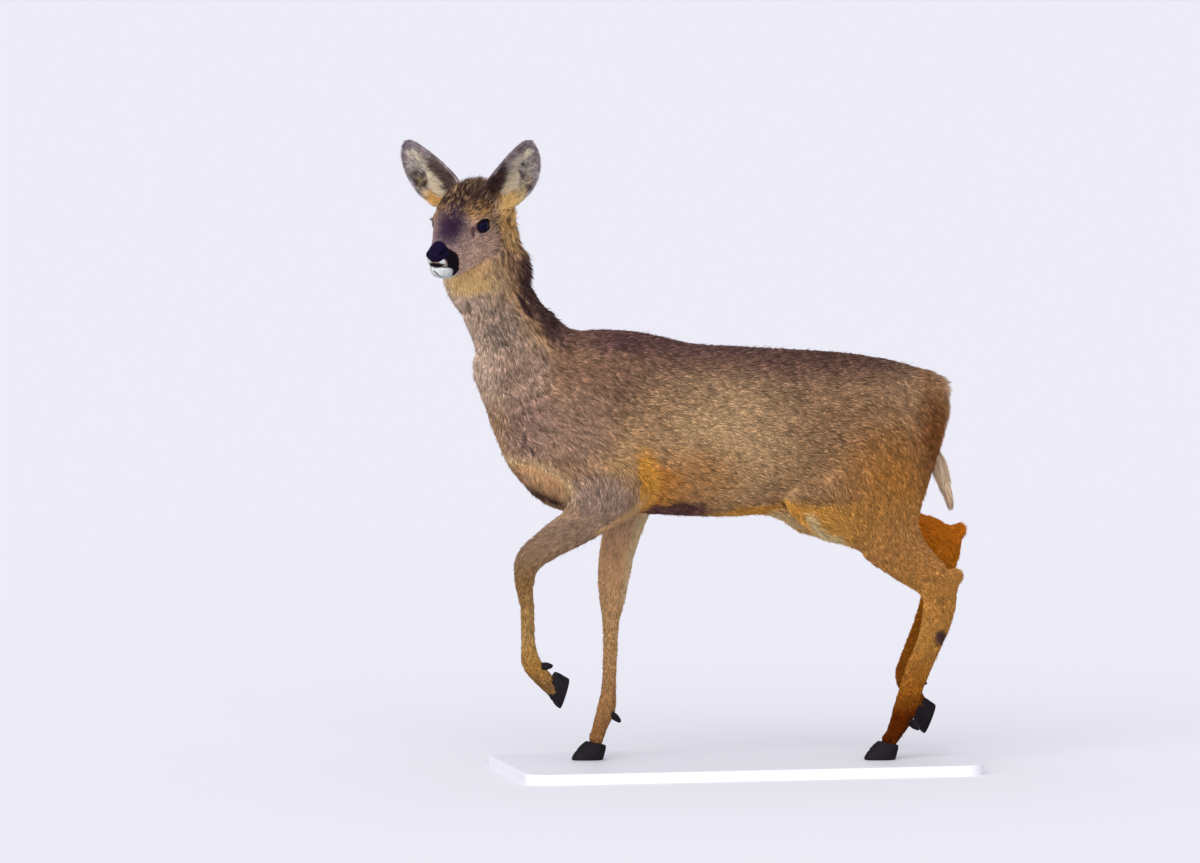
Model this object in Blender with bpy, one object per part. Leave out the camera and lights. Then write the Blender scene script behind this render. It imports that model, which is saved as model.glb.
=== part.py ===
"""A roe deer doe, life size, in a slow walk with its head turned to its left, on a low flat base.

The flesh is one solid, made as a field of distances: each muscle group, limb and bone is a chain of
oval sections along a smooth line, and neighbouring chains melt into each other. The solid is then
parted into named pieces with thin cuts. Sizes are in millimetres in the animal's own frame: it faces
-X, its left side is towards -Y, and its soles stand at height 0. The outline includes the coat.
"""

import bmesh
import bpy
import numpy as np
import openvdb
from mathutils import Matrix, Vector

MM = 0.001

# ---------------------------------------------------------------- driving sizes, in millimetres
GAP = 0.35  # width of the thin cuts between pieces
BASE_LENGTH, BASE_WIDTH, BASE_THICKNESS = 700.0, 320.0, 16.0
BASE_CORNER = 30.0
BASE_CENTRE = (60.0, 0.0)
HEAD_CENTRE = (-370.5, -65.0, 811.5)  # midway between the eyes
HEAD_YAW, HEAD_PITCH = np.radians(50.0), np.radians(18.0)  # to its left, and nose down
EYE_RADIUS = 12.5
EYE_PLACE = (3.0, 33.0, 0.5)  # forward, sideways and up from the head's centre
EYE_LOOK = (0.48, 0.87, 0.08)  # which way the left eye faces, in the same three directions


def unit(vector):
    vector = np.asarray(vector, float)
    return vector / np.linalg.norm(vector)


FORWARD = np.array([
    -np.cos(HEAD_PITCH) * np.cos(HEAD_YAW),
    -np.cos(HEAD_PITCH) * np.sin(HEAD_YAW),
    -np.sin(HEAD_PITCH),
])
LEFT = np.array([np.sin(HEAD_YAW), -np.cos(HEAD_YAW), 0.0])
UP = np.cross(FORWARD, LEFT)
HEAD_AXES = np.array([FORWARD, LEFT, UP])
BODY_LEFT = (0.0, -1.0, 0.0)


def in_head(forward, sideways, up):
    """A point given from the midpoint of the eyes, in the body's frame."""
    return np.array(HEAD_CENTRE) + np.array([forward, sideways, up]) @ HEAD_AXES


# ---------------------------------------------------------------- the animal's forms
# A section is (x, y, z, half depth, half width): half depth lies in the plane that the line bends
# in, half width goes across it.
TRUNK = [
    (-252, 0, 518, 39, 35),  # point of the chest
    (-232, 0, 520, 87, 59),
    (-193, 0, 517, 127, 83),  # shoulders
    (-117, 0, 509, 133, 93),  # withers
    (-25, 0, 496, 128, 98),  # ribs
    (67, 0, 492, 126, 99),
    (159, 0, 496, 118, 94),  # loin
    (236, 0, 500, 109, 90),  # hips
    (286, 0, 507, 91, 84),  # croup
    (316, 0, 520, 68, 68),
]
TAIL_ROOT = [(290, 0, 562, 30, 36), (352, 0, 551, 29, 32)]
NECK = [
    (-318, -8, 802, 42, 38),  # behind the skull
    (-321, -6, 770, 54, 42),
    (-319, -4, 735, 66, 46),
    (-309, -2, 702, 62, 46),
    (-294, 0, 672, 59, 48),
    (-281, 0, 647, 62, 52),
    (-267, 0, 621, 71, 58),
    (-256, 0, 592, 79, 64),
    (-234, 0, 558, 82, 70),  # base of the neck
]
THROAT_KNOT = [(-324, 0, 604, 14, 18), (-326, 0, 587, 13, 17)]
SHOULDER = [(-120, -52, 592, 44, 26), (-165, -62, 545, 56, 32), (-212, -58, 480, 56, 34), (-228, -50, 448, 44, 30)]
LEFT_UPPER_ARM = [(-218, -54, 456, 42, 28), (-175, -62, 432, 52, 31), (-133, -62, 418, 46, 30)]
RIGHT_UPPER_ARM = [(-212, 54, 462, 42, 28), (-150, 62, 438, 50, 31), (-92, 60, 420, 44, 30)]
HAUNCH = [(262, -44, 530, 56, 40), (282, -52, 490, 72, 42), (262, -58, 440, 78, 38), (240, -62, 392, 64, 34)]
BREAST = [(-241, 0, 448, 32, 40), (-210, 0, 420, 34, 46), (-160, 0, 402, 30, 44)]
UDDER = [(120, 0, 392, 20, 34), (160, 0, 376, 24, 36), (196, 0, 372, 24, 34)]
FLANK_FOLD = [(150, -66, 400, 30, 16), (186, -66, 372, 34, 18), (222, -64, 362, 34, 20)]
BUTTOCK = [(334, -36, 528, 42, 38), (322, -40, 480, 40, 36), (308, -44, 430, 40, 34), (292, -50, 388, 36, 30)]
LEFT_FORELEG = [
    (-140, -62, 418, 52, 30),  # elbow
    (-183, -60, 370, 33, 25),
    (-233, -57, 337, 25, 20),  # forearm
    (-266, -54, 310, 21, 18),  # knee
    (-273, -52, 276, 15, 14),
    (-269, -51, 240, 11.5, 11),  # cannon
    (-267, -50, 188, 11.5, 11),
    (-262, -49, 156, 15, 14),  # fetlock
    (-243, -48, 131, 14, 14),  # pastern
    (-228, -48, 116, 13, 14),
]
RIGHT_FORELEG = [
    (-78, 60, 418, 42, 32),
    (-94, 58, 366, 32, 26),
    (-107, 55, 321, 28, 22),
    (-115, 52, 276, 25, 19),
    (-118, 50, 239, 20, 17),
    (-120, 49, 209, 14, 13),
    (-121, 48, 171, 12, 11),
    (-124, 45, 111, 12, 11),
    (-128, 44, 78, 15, 14.5),
    (-138, 43, 49, 12.5, 13),
    (-144, 42, 32, 12, 13.5),
]
LEFT_HIND_LEG = [
    (252, -62, 420, 72, 36),  # thigh
    (274, -64, 350, 54, 30),
    (312, -60, 302, 37, 22),  # lower thigh
    (343, -56, 277, 31, 19),
    (361, -54, 250, 28, 17.5),  # hock
    (360, -53, 216, 25, 15),
    (349, -52, 179, 21, 13.5),
    (333, -50, 141, 20, 13),  # cannon
    (319, -49, 104, 19, 13),
    (307, -48, 66, 18, 15),  # fetlock
    (296, -47, 42, 14, 14),
    (288, -46, 30, 13, 14),
]
RIGHT_HIND_LEG = [
    (262, 62, 430, 70, 36),
    (290, 64, 372, 50, 30),
    (340, 60, 342, 29, 22),
    (375, 56, 331, 25, 19),
    (399, 54, 315, 23, 17.5),
    (392, 53, 284, 23, 15),
    (371, 51, 212, 18, 13.5),
    (345, 49, 145, 18, 13),
    (336, 48, 115, 18, 15),
    (346, 47, 90, 14, 14),
    (362, 46, 68, 13, 14),
]
HOCK_POINTS = {-1: [(386, -54, 276, 13, 11), (372, -54, 258, 16, 13)], 1: [(419, 54, 336, 12, 11), (404, 54, 322, 16, 13)]}
# In the head's own directions: forward, sideways, up, half height, half width.
SKULL = [
    (-64, 0, 8, 35, 32),
    (-42, 0, 9, 42, 37),
    (-12, 0, 6, 44, 40),
    (13, 0, -3, 39, 35),
    (38, 0, -15, 31, 27.5),
    (60, 0, -25, 26, 22),
    (72, 0, -29, 22, 20),
]
LOWER_JAW = [(-34, 0, -38, 24, 27), (2, 0, -46, 20, 22), (42, 0, -50, 14, 15.5), (67, 0, -49, 12, 12.5)]
CHEEK = [(-30, 22, -28, 28, 17), (2, 20, -26, 24, 15)]
BROW = [(-14, 30, 14, 12, 9), (10, 28, 13, 9, 8)]
THROAT = [(-58, 0, -20, 34, 32), (-40, 0, -52, 30, 30)]
EAR_ROOT, EAR_TIP = (-45, 26, 20), (-66, 112, 105)
EAR_OPENS = {1: np.radians(28), -1: np.radians(-4)}  # how far each ear turns out from straight ahead


def mirrored(rows):
    return [(x, -y, *rest) for x, y, *rest in rows]


def head_rows(rows, side=1):
    return [(*in_head(f, side * s, u), *rest) for f, s, u, *rest in rows]


def smooth_rows(rows, per_span):
    """Points on the Catmull-Rom curve through the rows: each span is a cubic whose slopes at its ends
    are half the step between the neighbouring rows."""
    rows = np.array(rows, float)
    padded = np.vstack([2 * rows[0] - rows[1], rows, 2 * rows[-1] - rows[-2]])
    t = np.linspace(0, 1, per_span, endpoint=False)[:, None]
    spans = []
    for a, b, c, d in zip(padded, padded[1:], padded[2:], padded[3:]):
        spans.append(b + 0.5 * t * (c - a + t * (2 * a - 5 * b + 4 * c - d + t * (3 * b - a + d - 3 * c))))
    return np.vstack([*spans, rows[-1:]])


class Chain:
    """Oval sections along a smooth line. side is the direction of the half widths, blend how softly
    the chain melts into the others, and egg how much narrower a section is on its upper side."""

    def __init__(self, rows, side=BODY_LEFT, blend=14.0, egg=0.0, per_span=5):
        rows = smooth_rows(rows, per_span)
        self.centres, self.deep, self.wide = rows[:, :3], rows[:, 3], rows[:, 4]
        self.side, self.blend, self.egg = unit(side), blend, egg

    def box(self, margin):
        reach = np.maximum(self.deep, self.wide)[:, None] + margin
        return (self.centres - reach).min(0), (self.centres + reach).max(0)

    def distance(self, points):
        """About how far each point is outside the chain: its distance from the nearest link's line,
        less the oval's radius in that direction."""
        best = np.full(len(points), 1e3, np.float32)
        for i in range(len(self.centres) - 1):
            start, step = self.centres[i], self.centres[i + 1] - self.centres[i]
            length = np.linalg.norm(step)
            along = step / length
            across = unit(self.side - along * (self.side @ along))
            raised = np.cross(across, along)
            away = points - start.astype(np.float32)
            t = np.clip(away @ (along / length), 0, 1).astype(np.float32)
            away = away - t[:, None] * step.astype(np.float32)
            deep = self.deep[i] + t * (self.deep[i + 1] - self.deep[i])
            wide = self.wide[i] + t * (self.wide[i + 1] - self.wide[i])
            high = away @ raised.astype(np.float32) / deep
            if self.egg:
                wide = wide * (1 - self.egg * np.clip(high, -1, 1))
            broad = away @ across.astype(np.float32) / wide
            beyond = away @ along.astype(np.float32) / (0.5 * (deep + wide))
            ratio = np.sqrt(high**2 + broad**2 + beyond**2) + 1e-6
            radial = np.linalg.norm(away, axis=1)
            best = np.minimum(best, radial - radial / ratio)
        return best


def melt(a, b, width):
    """The smaller of two distances, rounded where they are within the blend width of each other."""
    near = np.maximum(width - np.abs(a - b), 0) / width
    return np.minimum(a, b) - near * near * width / 4


def body_chains():
    chains = [
        Chain(TRUNK, egg=0.10, blend=30),
        Chain(NECK, blend=26, egg=0.05),
        Chain(BREAST, blend=24),
        Chain(TAIL_ROOT, blend=16),
        Chain(THROAT_KNOT, blend=9),
        Chain(UDDER, blend=22),
        Chain(LEFT_FORELEG, blend=16),
        Chain(RIGHT_FORELEG, blend=16),
        Chain(LEFT_UPPER_ARM, blend=20),
        Chain(RIGHT_UPPER_ARM, blend=20),
        Chain(LEFT_HIND_LEG, blend=18),
        Chain(RIGHT_HIND_LEG, blend=18),
    ]
    for rows, blend in ((SHOULDER, 26), (HAUNCH, 28), (BUTTOCK, 24), (FLANK_FOLD, 20)):
        chains += [Chain(rows, blend=blend), Chain(mirrored(rows), blend=blend)]
    chains += [Chain(rows, blend=9) for rows in HOCK_POINTS.values()]
    return chains


def head_chains():
    chains = [
        Chain(head_rows(SKULL), side=LEFT, blend=10, egg=0.10),
        Chain(head_rows(LOWER_JAW), side=LEFT, blend=12),
        Chain(head_rows(THROAT), side=LEFT, blend=18),
    ]
    for side in (-1, 1):
        chains.append(Chain(head_rows(CHEEK, side), side=LEFT, blend=12))
        chains.append(Chain(head_rows(BROW, side), side=LEFT, blend=8))
    return chains


def polygons(chains, low, high, cell):
    """The surface where the blended field is zero, inside a box, as points and faces."""
    low, high = np.array(low, float), np.array(high, float)
    counts = np.ceil((high - low) / cell).astype(int) + 1
    field = np.full(counts, 50.0, np.float32)
    for chain in chains:
        first, last = chain.box(40.0)
        a = np.clip(((first - low) / cell).astype(int), 0, counts)
        b = np.clip(((last - low) / cell).astype(int) + 2, 0, counts)
        if (b <= a).any():
            continue
        grid = np.stack(np.meshgrid(*[np.arange(i, j) for i, j in zip(a, b)], indexing="ij"), -1)
        points = (grid.reshape(-1, 3) * cell + low).astype(np.float32)
        window = tuple(slice(i, j) for i, j in zip(a, b))
        distance = chain.distance(points).reshape(tuple(b - a))
        field[window] = melt(field[window], distance, chain.blend)
    volume = openvdb.FloatGrid(50.0)
    volume.copyFromArray(field)
    volume.transform = openvdb.createLinearTransform(cell)
    points, quads = volume.convertToQuads(0.0)
    return points + low, quads


def field_at(points, chains):
    """The blended distance at each point."""
    found = np.full(len(points), 50.0, np.float32)
    for chain in chains:
        low, high = chain.box(40.0)
        near = ((points > low) & (points < high)).all(1)
        if near.any():
            found[near] = melt(found[near], chain.distance(points[near].astype(np.float32)), chain.blend)
    return found


def settled(points, chains, rounds=3):
    """The points moved onto the field's surface, along the direction in which it grows."""
    for _ in range(rounds):
        value = field_at(points, chains)
        slope = np.stack([field_at(points + step, chains) - value for step in np.eye(3)], 1)
        size = np.maximum((slope**2).sum(1), 0.2)
        points = points - np.clip(value / size, -6, 6)[:, None] * slope
    return points


def add(name, points, faces):
    mesh = bpy.data.meshes.new(name)
    mesh.from_pydata([tuple(p) for p in np.asarray(points, float)], [], [tuple(map(int, f)) for f in faces])
    obj = bpy.data.objects.new(name, mesh)
    bpy.context.scene.collection.objects.link(obj)
    work = bmesh.new()
    work.from_mesh(mesh)
    bmesh.ops.recalc_face_normals(work, faces=work.faces)
    work.to_mesh(mesh)
    work.free()
    return obj


def evaluated_mesh(obj):
    bpy.context.view_layer.update()
    graph = bpy.context.evaluated_depsgraph_get()
    return bpy.data.meshes.new_from_object(obj.evaluated_get(graph))


def modified(obj, kind, **settings):
    """The object with one modifier made part of its mesh."""
    modifier = obj.modifiers.new(kind, kind)
    for key, value in settings.items():
        setattr(modifier, key, value)
    mesh = evaluated_mesh(obj)
    obj.modifiers.remove(modifier)
    obj.data = mesh
    return obj


def combined(obj, other, operation):
    return modified(obj, "BOOLEAN", object=other, operation=operation, solver="EXACT")


def copied(obj, name):
    double = bpy.data.objects.new(name, obj.data.copy())
    bpy.context.scene.collection.objects.link(double)
    return double


def drop(*objects):
    for obj in objects:
        bpy.data.objects.remove(obj)


def swollen(obj, by):
    """A copy of the object with its surface moved out, to cut a fit with a little clearance."""
    double = copied(obj, "swollen")
    double.data.update()
    for vertex, normal in zip(double.data.vertices, [Vector(v.normal) for v in double.data.vertices]):
        vertex.co += normal * by
    return double


def keep_largest(obj):
    """Drops the crumbs that a cut leaves."""
    work = bmesh.new()
    work.from_mesh(obj.data)
    unseen, bodies = set(work.verts), []
    while unseen:
        stack = [unseen.pop()]
        body = set(stack)
        while stack:
            for edge in stack.pop().link_edges:
                for vertex in edge.verts:
                    if vertex in unseen:
                        unseen.remove(vertex)
                        body.add(vertex)
                        stack.append(vertex)
        bodies.append(body)
    bodies.sort(key=len)
    for body in bodies[:-1]:
        bmesh.ops.delete(work, geom=list(body), context="VERTS")
    work.to_mesh(obj.data)
    work.free()
    return obj


def block(low, high, centre=(0, 0, 0), axes=np.eye(3), grow=0.0):
    """A box between two corners that are given along three axes from a centre."""
    low, high = np.array(low, float) - grow, np.array(high, float) + grow
    corners = np.array([[(low, high)[k][0], (low, high)[j][1], (low, high)[i][2]]
                        for i in (0, 1) for j in (0, 1) for k in (0, 1)])
    faces = [(0, 2, 3, 1), (4, 5, 7, 6), (0, 1, 5, 4), (2, 6, 7, 3), (0, 4, 6, 2), (1, 3, 7, 5)]
    return add("block", corners @ np.array(axes) + np.array(centre), faces)


def carved_off(whole, name, low, high, **placing):
    """The part of the whole inside a box becomes a piece of its own, with a thin gap round it."""
    piece = copied(whole, name)
    inside, outside = block(low, high, **placing), block(low, high, grow=GAP, **placing)
    combined(piece, inside, "INTERSECT")
    combined(whole, outside, "DIFFERENCE")
    drop(inside, outside)
    keep_largest(piece)
    keep_largest(whole)
    return piece


def cut_off(whole, name, point, toward):
    """The part of the whole beyond a plane becomes a piece of its own."""
    along = unit(toward)
    across = unit(np.cross(along, (0.0, 1.0, 0.0) if abs(along[1]) < 0.9 else (1.0, 0.0, 0.0)))
    axes = np.array([along, across, np.cross(along, across)])
    return carved_off(whole, name, (0, -900, -900), (1800, 900, 900), centre=point, axes=axes)


# ---------------------------------------------------------------- claws, dewclaws, ears and eyes
CLAW_SOLE = [(30, 3.0), (24, 9.0), (10, 13.5), (-6, 14.0), (-15, 10.0), (-17, 5.0), (-12, 1.2), (8, 1.0), (24, 1.0)]
CLAW_LEVELS = [(0.0, 1.0, 0.0), (9.0, 0.96, -3.0), (20.0, 0.78, -8.0), (26.0, 0.60, -11.0)]


def claw(name, origin, ahead, above, side):
    """One of the two claws of a foot. The sole's outline is carried up to the coronet in levels of
    (height, scale, shift back); the heel is lower than the toe wall."""
    outward = np.array(BODY_LEFT) * side
    points = []
    for height, scale, shift in CLAW_LEVELS:
        for forth, aside in CLAW_SOLE:
            lean = 1 - 0.22 * (16 - forth) / 46 if height > 15 else 1
            middle = 7.0 + (aside - 7.0) * scale if height else aside
            points.append(
                np.array(origin) + np.array(ahead) * (forth * scale + shift)
                + outward * max(middle, 0.6) + np.array(above) * height * lean
            )
    n, levels = len(CLAW_SOLE), len(CLAW_LEVELS)
    faces = [
        (k * n + i, k * n + (i + 1) % n, (k + 1) * n + (i + 1) % n, (k + 1) * n + i)
        for k in range(levels - 1)
        for i in range(n)
    ]
    faces += [tuple(range(n))[::-1], tuple(range((levels - 1) * n, levels * n))]
    return add(name, points, faces)


def dewclaw(name, root, tip, radius):
    """A small blunt cone, rounder at its root."""
    root, tip = np.array(root, float), np.array(tip, float)
    along = unit(tip - root)
    across = unit(np.cross(along, (1.0, 0.0, 0.3)))
    other = np.cross(along, across)
    turns = np.linspace(0, 2 * np.pi, 6, endpoint=False)
    points = []
    for share, size in ((0.0, 0.9), (0.5, 1.0), (1.0, 0.4)):
        for turn in turns:
            points.append(root + (tip - root) * share + radius * size * (np.cos(turn) * across + np.sin(turn) * other))
    faces = [(6 * k + i, 6 * k + (i + 1) % 6, 6 * k + 6 + (i + 1) % 6, 6 * k + 6 + i) for k in range(2) for i in range(6)]
    faces += [tuple(range(6))[::-1], tuple(range(12, 18))]
    return add(name, points, faces)


def ear_frame(side):
    """The ear's root, its line to the tip, the way it opens and the way across it."""
    root = in_head(EAR_ROOT[0], side * EAR_ROOT[1], EAR_ROOT[2])
    tip = in_head(EAR_TIP[0], side * EAR_TIP[1], EAR_TIP[2])
    along = unit(tip - root)
    ahead = unit(FORWARD - along * (FORWARD @ along))
    outward = unit(np.cross(along, ahead) * side)
    turn = EAR_OPENS[side]
    opens = np.cos(turn) * ahead + np.sin(turn) * outward
    return root, tip - root, opens, unit(np.cross(opens, along)) * -side


EAR_WIDE = ((0.0, 18), (0.12, 27), (0.28, 33), (0.45, 34), (0.62, 31), (0.78, 24), (0.90, 15), (1.0, 5))
EAR_CUP = ((0.0, 26), (0.15, 27), (0.35, 20), (0.6, 12), (0.85, 6), (1.0, 2))
EAR_THICK = ((0.0, 9), (0.2, 8), (0.5, 5.5), (0.9, 4), (1.0, 3))


def ear(name, side):
    """A cupped leaf: each cross-section is a bow, its back rounder than its hollow."""
    root, span, opens, across = ear_frame(side)
    shares, steps = np.linspace(0, 1, 10), np.linspace(-1, 1, 7)
    points = []
    for share in shares:
        wide, cup, thick = (np.interp(share, *zip(*rows)) for rows in (EAR_WIDE, EAR_CUP, EAR_THICK))
        bend = opens * (-7 * np.sin(np.pi * share)) + across * 3 * np.sin(np.pi * share)
        centre = root + span * share + bend
        hollow = [centre + across * wide * t + opens * (cup * (abs(t) ** 2.2) - cup * 0.45) for t in steps]
        back = [
            centre + across * wide * t * 1.02 + opens * (cup * (abs(t) ** 2.2) - cup * 0.45 - thick * (1 - 0.75 * t * t))
            for t in steps[::-1]
        ]
        points += hollow + back
    n = 14
    faces = [
        (k * n + i, k * n + (i + 1) % n, (k + 1) * n + (i + 1) % n, (k + 1) * n + i)
        for k in range(len(shares) - 1)
        for i in range(n)
    ]
    faces += [tuple(range(n))[::-1], tuple(range(9 * n, 10 * n))]
    return add(name, points, faces)


def ball(name, centre, sizes, axes, rings=8, sectors=12):
    work = bmesh.new()
    bmesh.ops.create_uvsphere(work, u_segments=sectors, v_segments=rings, radius=1.0)
    points = [np.array(centre) + (np.array(v.co) * np.array(sizes)) @ np.array(axes) for v in work.verts]
    faces = [[v.index for v in face.verts] for face in work.faces]
    work.free()
    return add(name, points, faces)


# ---------------------------------------------------------------- build
for old in list(bpy.data.objects):
    bpy.data.objects.remove(old)

chains = body_chains() + head_chains()
points, quads = polygons(chains, (-520, -160, 0), (460, 130, 960), 6.0)
body = add("body", points, quads)
modified(body, "DECIMATE", ratio=0.041)
places = np.array([v.co[:] for v in body.data.vertices])
for vertex, place in zip(body.data.vertices, settled(places, chains)):
    vertex.co = place
keep_largest(body)

pieces = {}
# Eyes and nose sit in hollows of the head.
for side, word in ((1, "left"), (-1, "right")):
    look = unit(np.array([EYE_LOOK[0], side * EYE_LOOK[1], EYE_LOOK[2]]) @ HEAD_AXES)
    over = unit(UP - look * (UP @ look))
    axes = np.array([np.cross(over, look), over, look])
    centre = in_head(EYE_PLACE[0], side * EYE_PLACE[1], EYE_PLACE[2])
    pieces["eye_" + word] = ball("eye_" + word, centre, [EYE_RADIUS] * 3, axes)
    socket = ball("socket", centre, [EYE_RADIUS + GAP] * 3, axes)
    combined(body, socket, "DIFFERENCE")
    drop(socket)
NOSE_PLACE, NOSE_SIZE = (84.0, 0.0, -18.0), (12.0, 16.0, 15.5)
nose_axes = HEAD_AXES
pieces["nose"] = ball("nose", in_head(*NOSE_PLACE), NOSE_SIZE, nose_axes)
hollow = ball("hollow", in_head(*NOSE_PLACE), np.array(NOSE_SIZE) + GAP, nose_axes)
combined(body, hollow, "DIFFERENCE")
drop(hollow)
keep_largest(body)

# Ears and the tuft under the tail are fitted to the body's surface.
cutter = swollen(body, GAP)
for side, word in ((1, "left"), (-1, "right")):
    pieces["ear_" + word] = keep_largest(combined(ear("ear_" + word, side), cutter, "DIFFERENCE"))
TUSH = [(352, 0, 466, 18, 22), (366, 0, 434, 18, 20), (380, 0, 402, 12, 14), (389, 0, 380, 4, 5)]
tush_points, tush_quads = polygons([Chain(TUSH)], (320, -40, 350), (420, 40, 500), 4.0)
tush = modified(add("tail_tuft", tush_points, tush_quads), "DECIMATE", ratio=0.06)
pieces["tail_tuft"] = keep_largest(combined(tush, cutter, "DIFFERENCE"))

# Feet: (sole's middle, way ahead, way up) and the fetlock's place.
FEET = {
    "fore_left": ((-210, -48, 115), (-0.276, 0, -0.961), (-0.961, 0, 0.276)),
    "fore_right": ((-152, 42, 0), (-1, 0, 0), (0, 0, 1)),
    "hind_left": ((278, -46, 0), (-1, 0, 0), (0, 0, 1)),
    "hind_right": ((374, 46, 56), (-0.35, 0, -0.937), (-0.937, 0, 0.35)),
}
DEWCLAWS = {
    "fore_left": ((-248, -49, 150), (-231, -49, 152)),
    "fore_right": ((-122, 44, 70), (-108, 44, 56)),
    "hind_left": ((316, -48, 60), (330, -48, 44)),
    "hind_right": ((350, 48, 113), (366, 48, 104)),
}
for foot, (origin, ahead, above) in FEET.items():
    for side, word in ((1, "left"), (-1, "right")):
        name = f"claw_{foot}_{word}"
        pieces[name] = claw(name, origin, ahead, above, side)
for foot, (root, tip) in DEWCLAWS.items():
    for side, word in ((1, "left"), (-1, "right")):
        shift = np.array(BODY_LEFT) * side
        name = f"dewclaw_{foot}_{word}"
        horn = dewclaw(name, np.array(root) + shift * 6.5, np.array(tip) + shift * 8.5, 5.0)
        pieces[name] = keep_largest(combined(horn, cutter, "DIFFERENCE"))
drop(cutter)
# The pasterns are hollowed a little where the claws' tops go in.
for name in [name for name in pieces if name.startswith("claw_")]:
    tool = swollen(pieces[name], GAP)
    combined(body, tool, "DIFFERENCE")
    drop(tool)
keep_largest(body)

# The body is parted into the pieces that a person names.
SHOULDER_AXES = np.array([(0.94, 0, -0.342), (0, 1, 0), (0.342, 0, 0.94)])
for side, word, ahead_x, behind_x in ((-1, "left", -330, -85), (1, "right", -245, -20)):
    low_y, high_y = sorted((side * 30.0, side * 200.0))
    leg = carved_off(body, "leg", (ahead_x, low_y, -10), (behind_x, high_y, 424))
    low_y, high_y = sorted((side * 44.0, side * 200.0))
    pieces["shoulder_" + word] = carved_off(
        body, "shoulder", (-66, low_y, -88), (66, high_y, 88), centre=(-172, 0, 516), axes=SHOULDER_AXES
    )
    pieces["foreleg_" + word] = leg
for side, word in ((-1, "left"), (1, "right")):
    low_y, high_y = sorted((side * 22.0, side * 200.0))
    pieces["hindleg_" + word] = carved_off(body, "leg", (196, low_y, -10), (460, high_y, 452))

CUTS = {
    "foreleg_left": [
        ("knee", (-252, -56, 326), (-0.75, 0, -0.66)),
        ("cannon", (-272, -52, 280), (0.05, 0, -1)),
        ("pastern", (-266, -50, 172), (0.05, 0, -1)),
    ],
    "foreleg_right": [
        ("knee", (-113, 52, 262), (-0.15, 0, -1)),
        ("cannon", (-119, 49, 212), (-0.05, 0, -1)),
        ("pastern", (-126, 44, 92), (-0.1, 0, -1)),
    ],
    "hindleg_left": [
        ("gaskin", (270, -64, 352), (0.75, 0, -0.66)),
        ("hock", (346, -56, 282), (0.55, 0, -0.84)),
        ("cannon", (357, -53, 218), (-0.25, 0, -0.97)),
        ("pastern", (312, -48, 84), (-0.35, 0, -0.94)),
    ],
    "hindleg_right": [
        ("gaskin", (300, 64, 366), (0.94, 0, -0.34)),
        ("hock", (380, 56, 330), (0.85, 0, -0.52)),
        ("cannon", (390, 53, 278), (-0.3, 0, -0.95)),
        ("pastern", (339, 48, 130), (-0.3, 0, -0.95)),
    ],
}
TOP_NAMES = {"foreleg": "forearm", "hindleg": "thigh"}
for key, cuts in CUTS.items():
    kind, word = key.split("_")
    rest = pieces.pop(key)
    last = TOP_NAMES[kind]
    for name, point, toward in cuts:
        beyond = cut_off(rest, "beyond", point, toward)
        pieces[f"{last}_{word}" if last in TOP_NAMES.values() else f"{last}_{kind[:4]}_{word}"] = rest
        rest, last = beyond, name
    pieces[f"{last}_{kind[:4]}_{word}"] = rest

head = cut_off(body, "head", (-326, -8, 768), (-0.42, -0.30, 0.86))
muzzle = cut_off(head, "muzzle", in_head(38, 0, 0), FORWARD)
pieces["lower_jaw"] = cut_off(muzzle, "lower_jaw", in_head(40, 0, -41), -UP)
pieces["muzzle"], pieces["head"] = muzzle, head
neck = cut_off(body, "neck", (-262, 0, 600), (-0.55, 0, 0.83))
pieces["neck_upper"] = cut_off(neck, "neck_upper", (-306, 0, 705), (-0.1, 0, 1))
pieces["neck_lower"] = neck
rump = cut_off(body, "rump", (214, 0, 500), (1, 0, 0))
loin = cut_off(body, "loin", (96, 0, 500), (1, 0, 0))
ribs = cut_off(body, "ribs", (-110, 0, 500), (1, 0, 0))
pieces |= {"rump": rump, "loin": loin, "ribs": ribs, "chest": body}

# ---------------------------------------------------------------- the base
low_x, high_x = BASE_CENTRE[0] - BASE_LENGTH / 2, BASE_CENTRE[0] + BASE_LENGTH / 2
base = block((low_x, -BASE_WIDTH / 2, -BASE_THICKNESS - GAP), (high_x, BASE_WIDTH / 2, -GAP))
work = bmesh.new()
work.from_mesh(base.data)
upright = [edge for edge in work.edges if abs(edge.verts[0].co.z - edge.verts[1].co.z) > 1]
bmesh.ops.bevel(work, geom=upright, offset=BASE_CORNER, segments=6, affect="EDGES", profile=0.5)
rim = [
    edge for edge in work.edges
    if all(vertex.co.z > -GAP - 0.01 for vertex in edge.verts)
    and any(abs(face.normal.z) < 0.5 for face in edge.link_faces)
]
bmesh.ops.bevel(work, geom=rim, offset=2.5, segments=2, affect="EDGES", profile=0.5)
work.to_mesh(base.data)
work.free()
pieces["stand_base"] = base

COAT, DARK_COAT, HORN = (0.27, 0.19, 0.12), (0.20, 0.14, 0.09), (0.02, 0.018, 0.016)
COLOURS = {"eye": (0.01, 0.008, 0.006), "nose": (0.015, 0.013, 0.013), "claw": HORN, "dewclaw": HORN}
COLOURS |= {"tail": (0.75, 0.68, 0.55), "stand": (0.75, 0.75, 0.73), "knee": (0.33, 0.22, 0.12)}
COLOURS |= {"cannon": (0.36, 0.22, 0.11), "pastern": (0.30, 0.15, 0.06), "hock": (0.34, 0.21, 0.10)}

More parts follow.
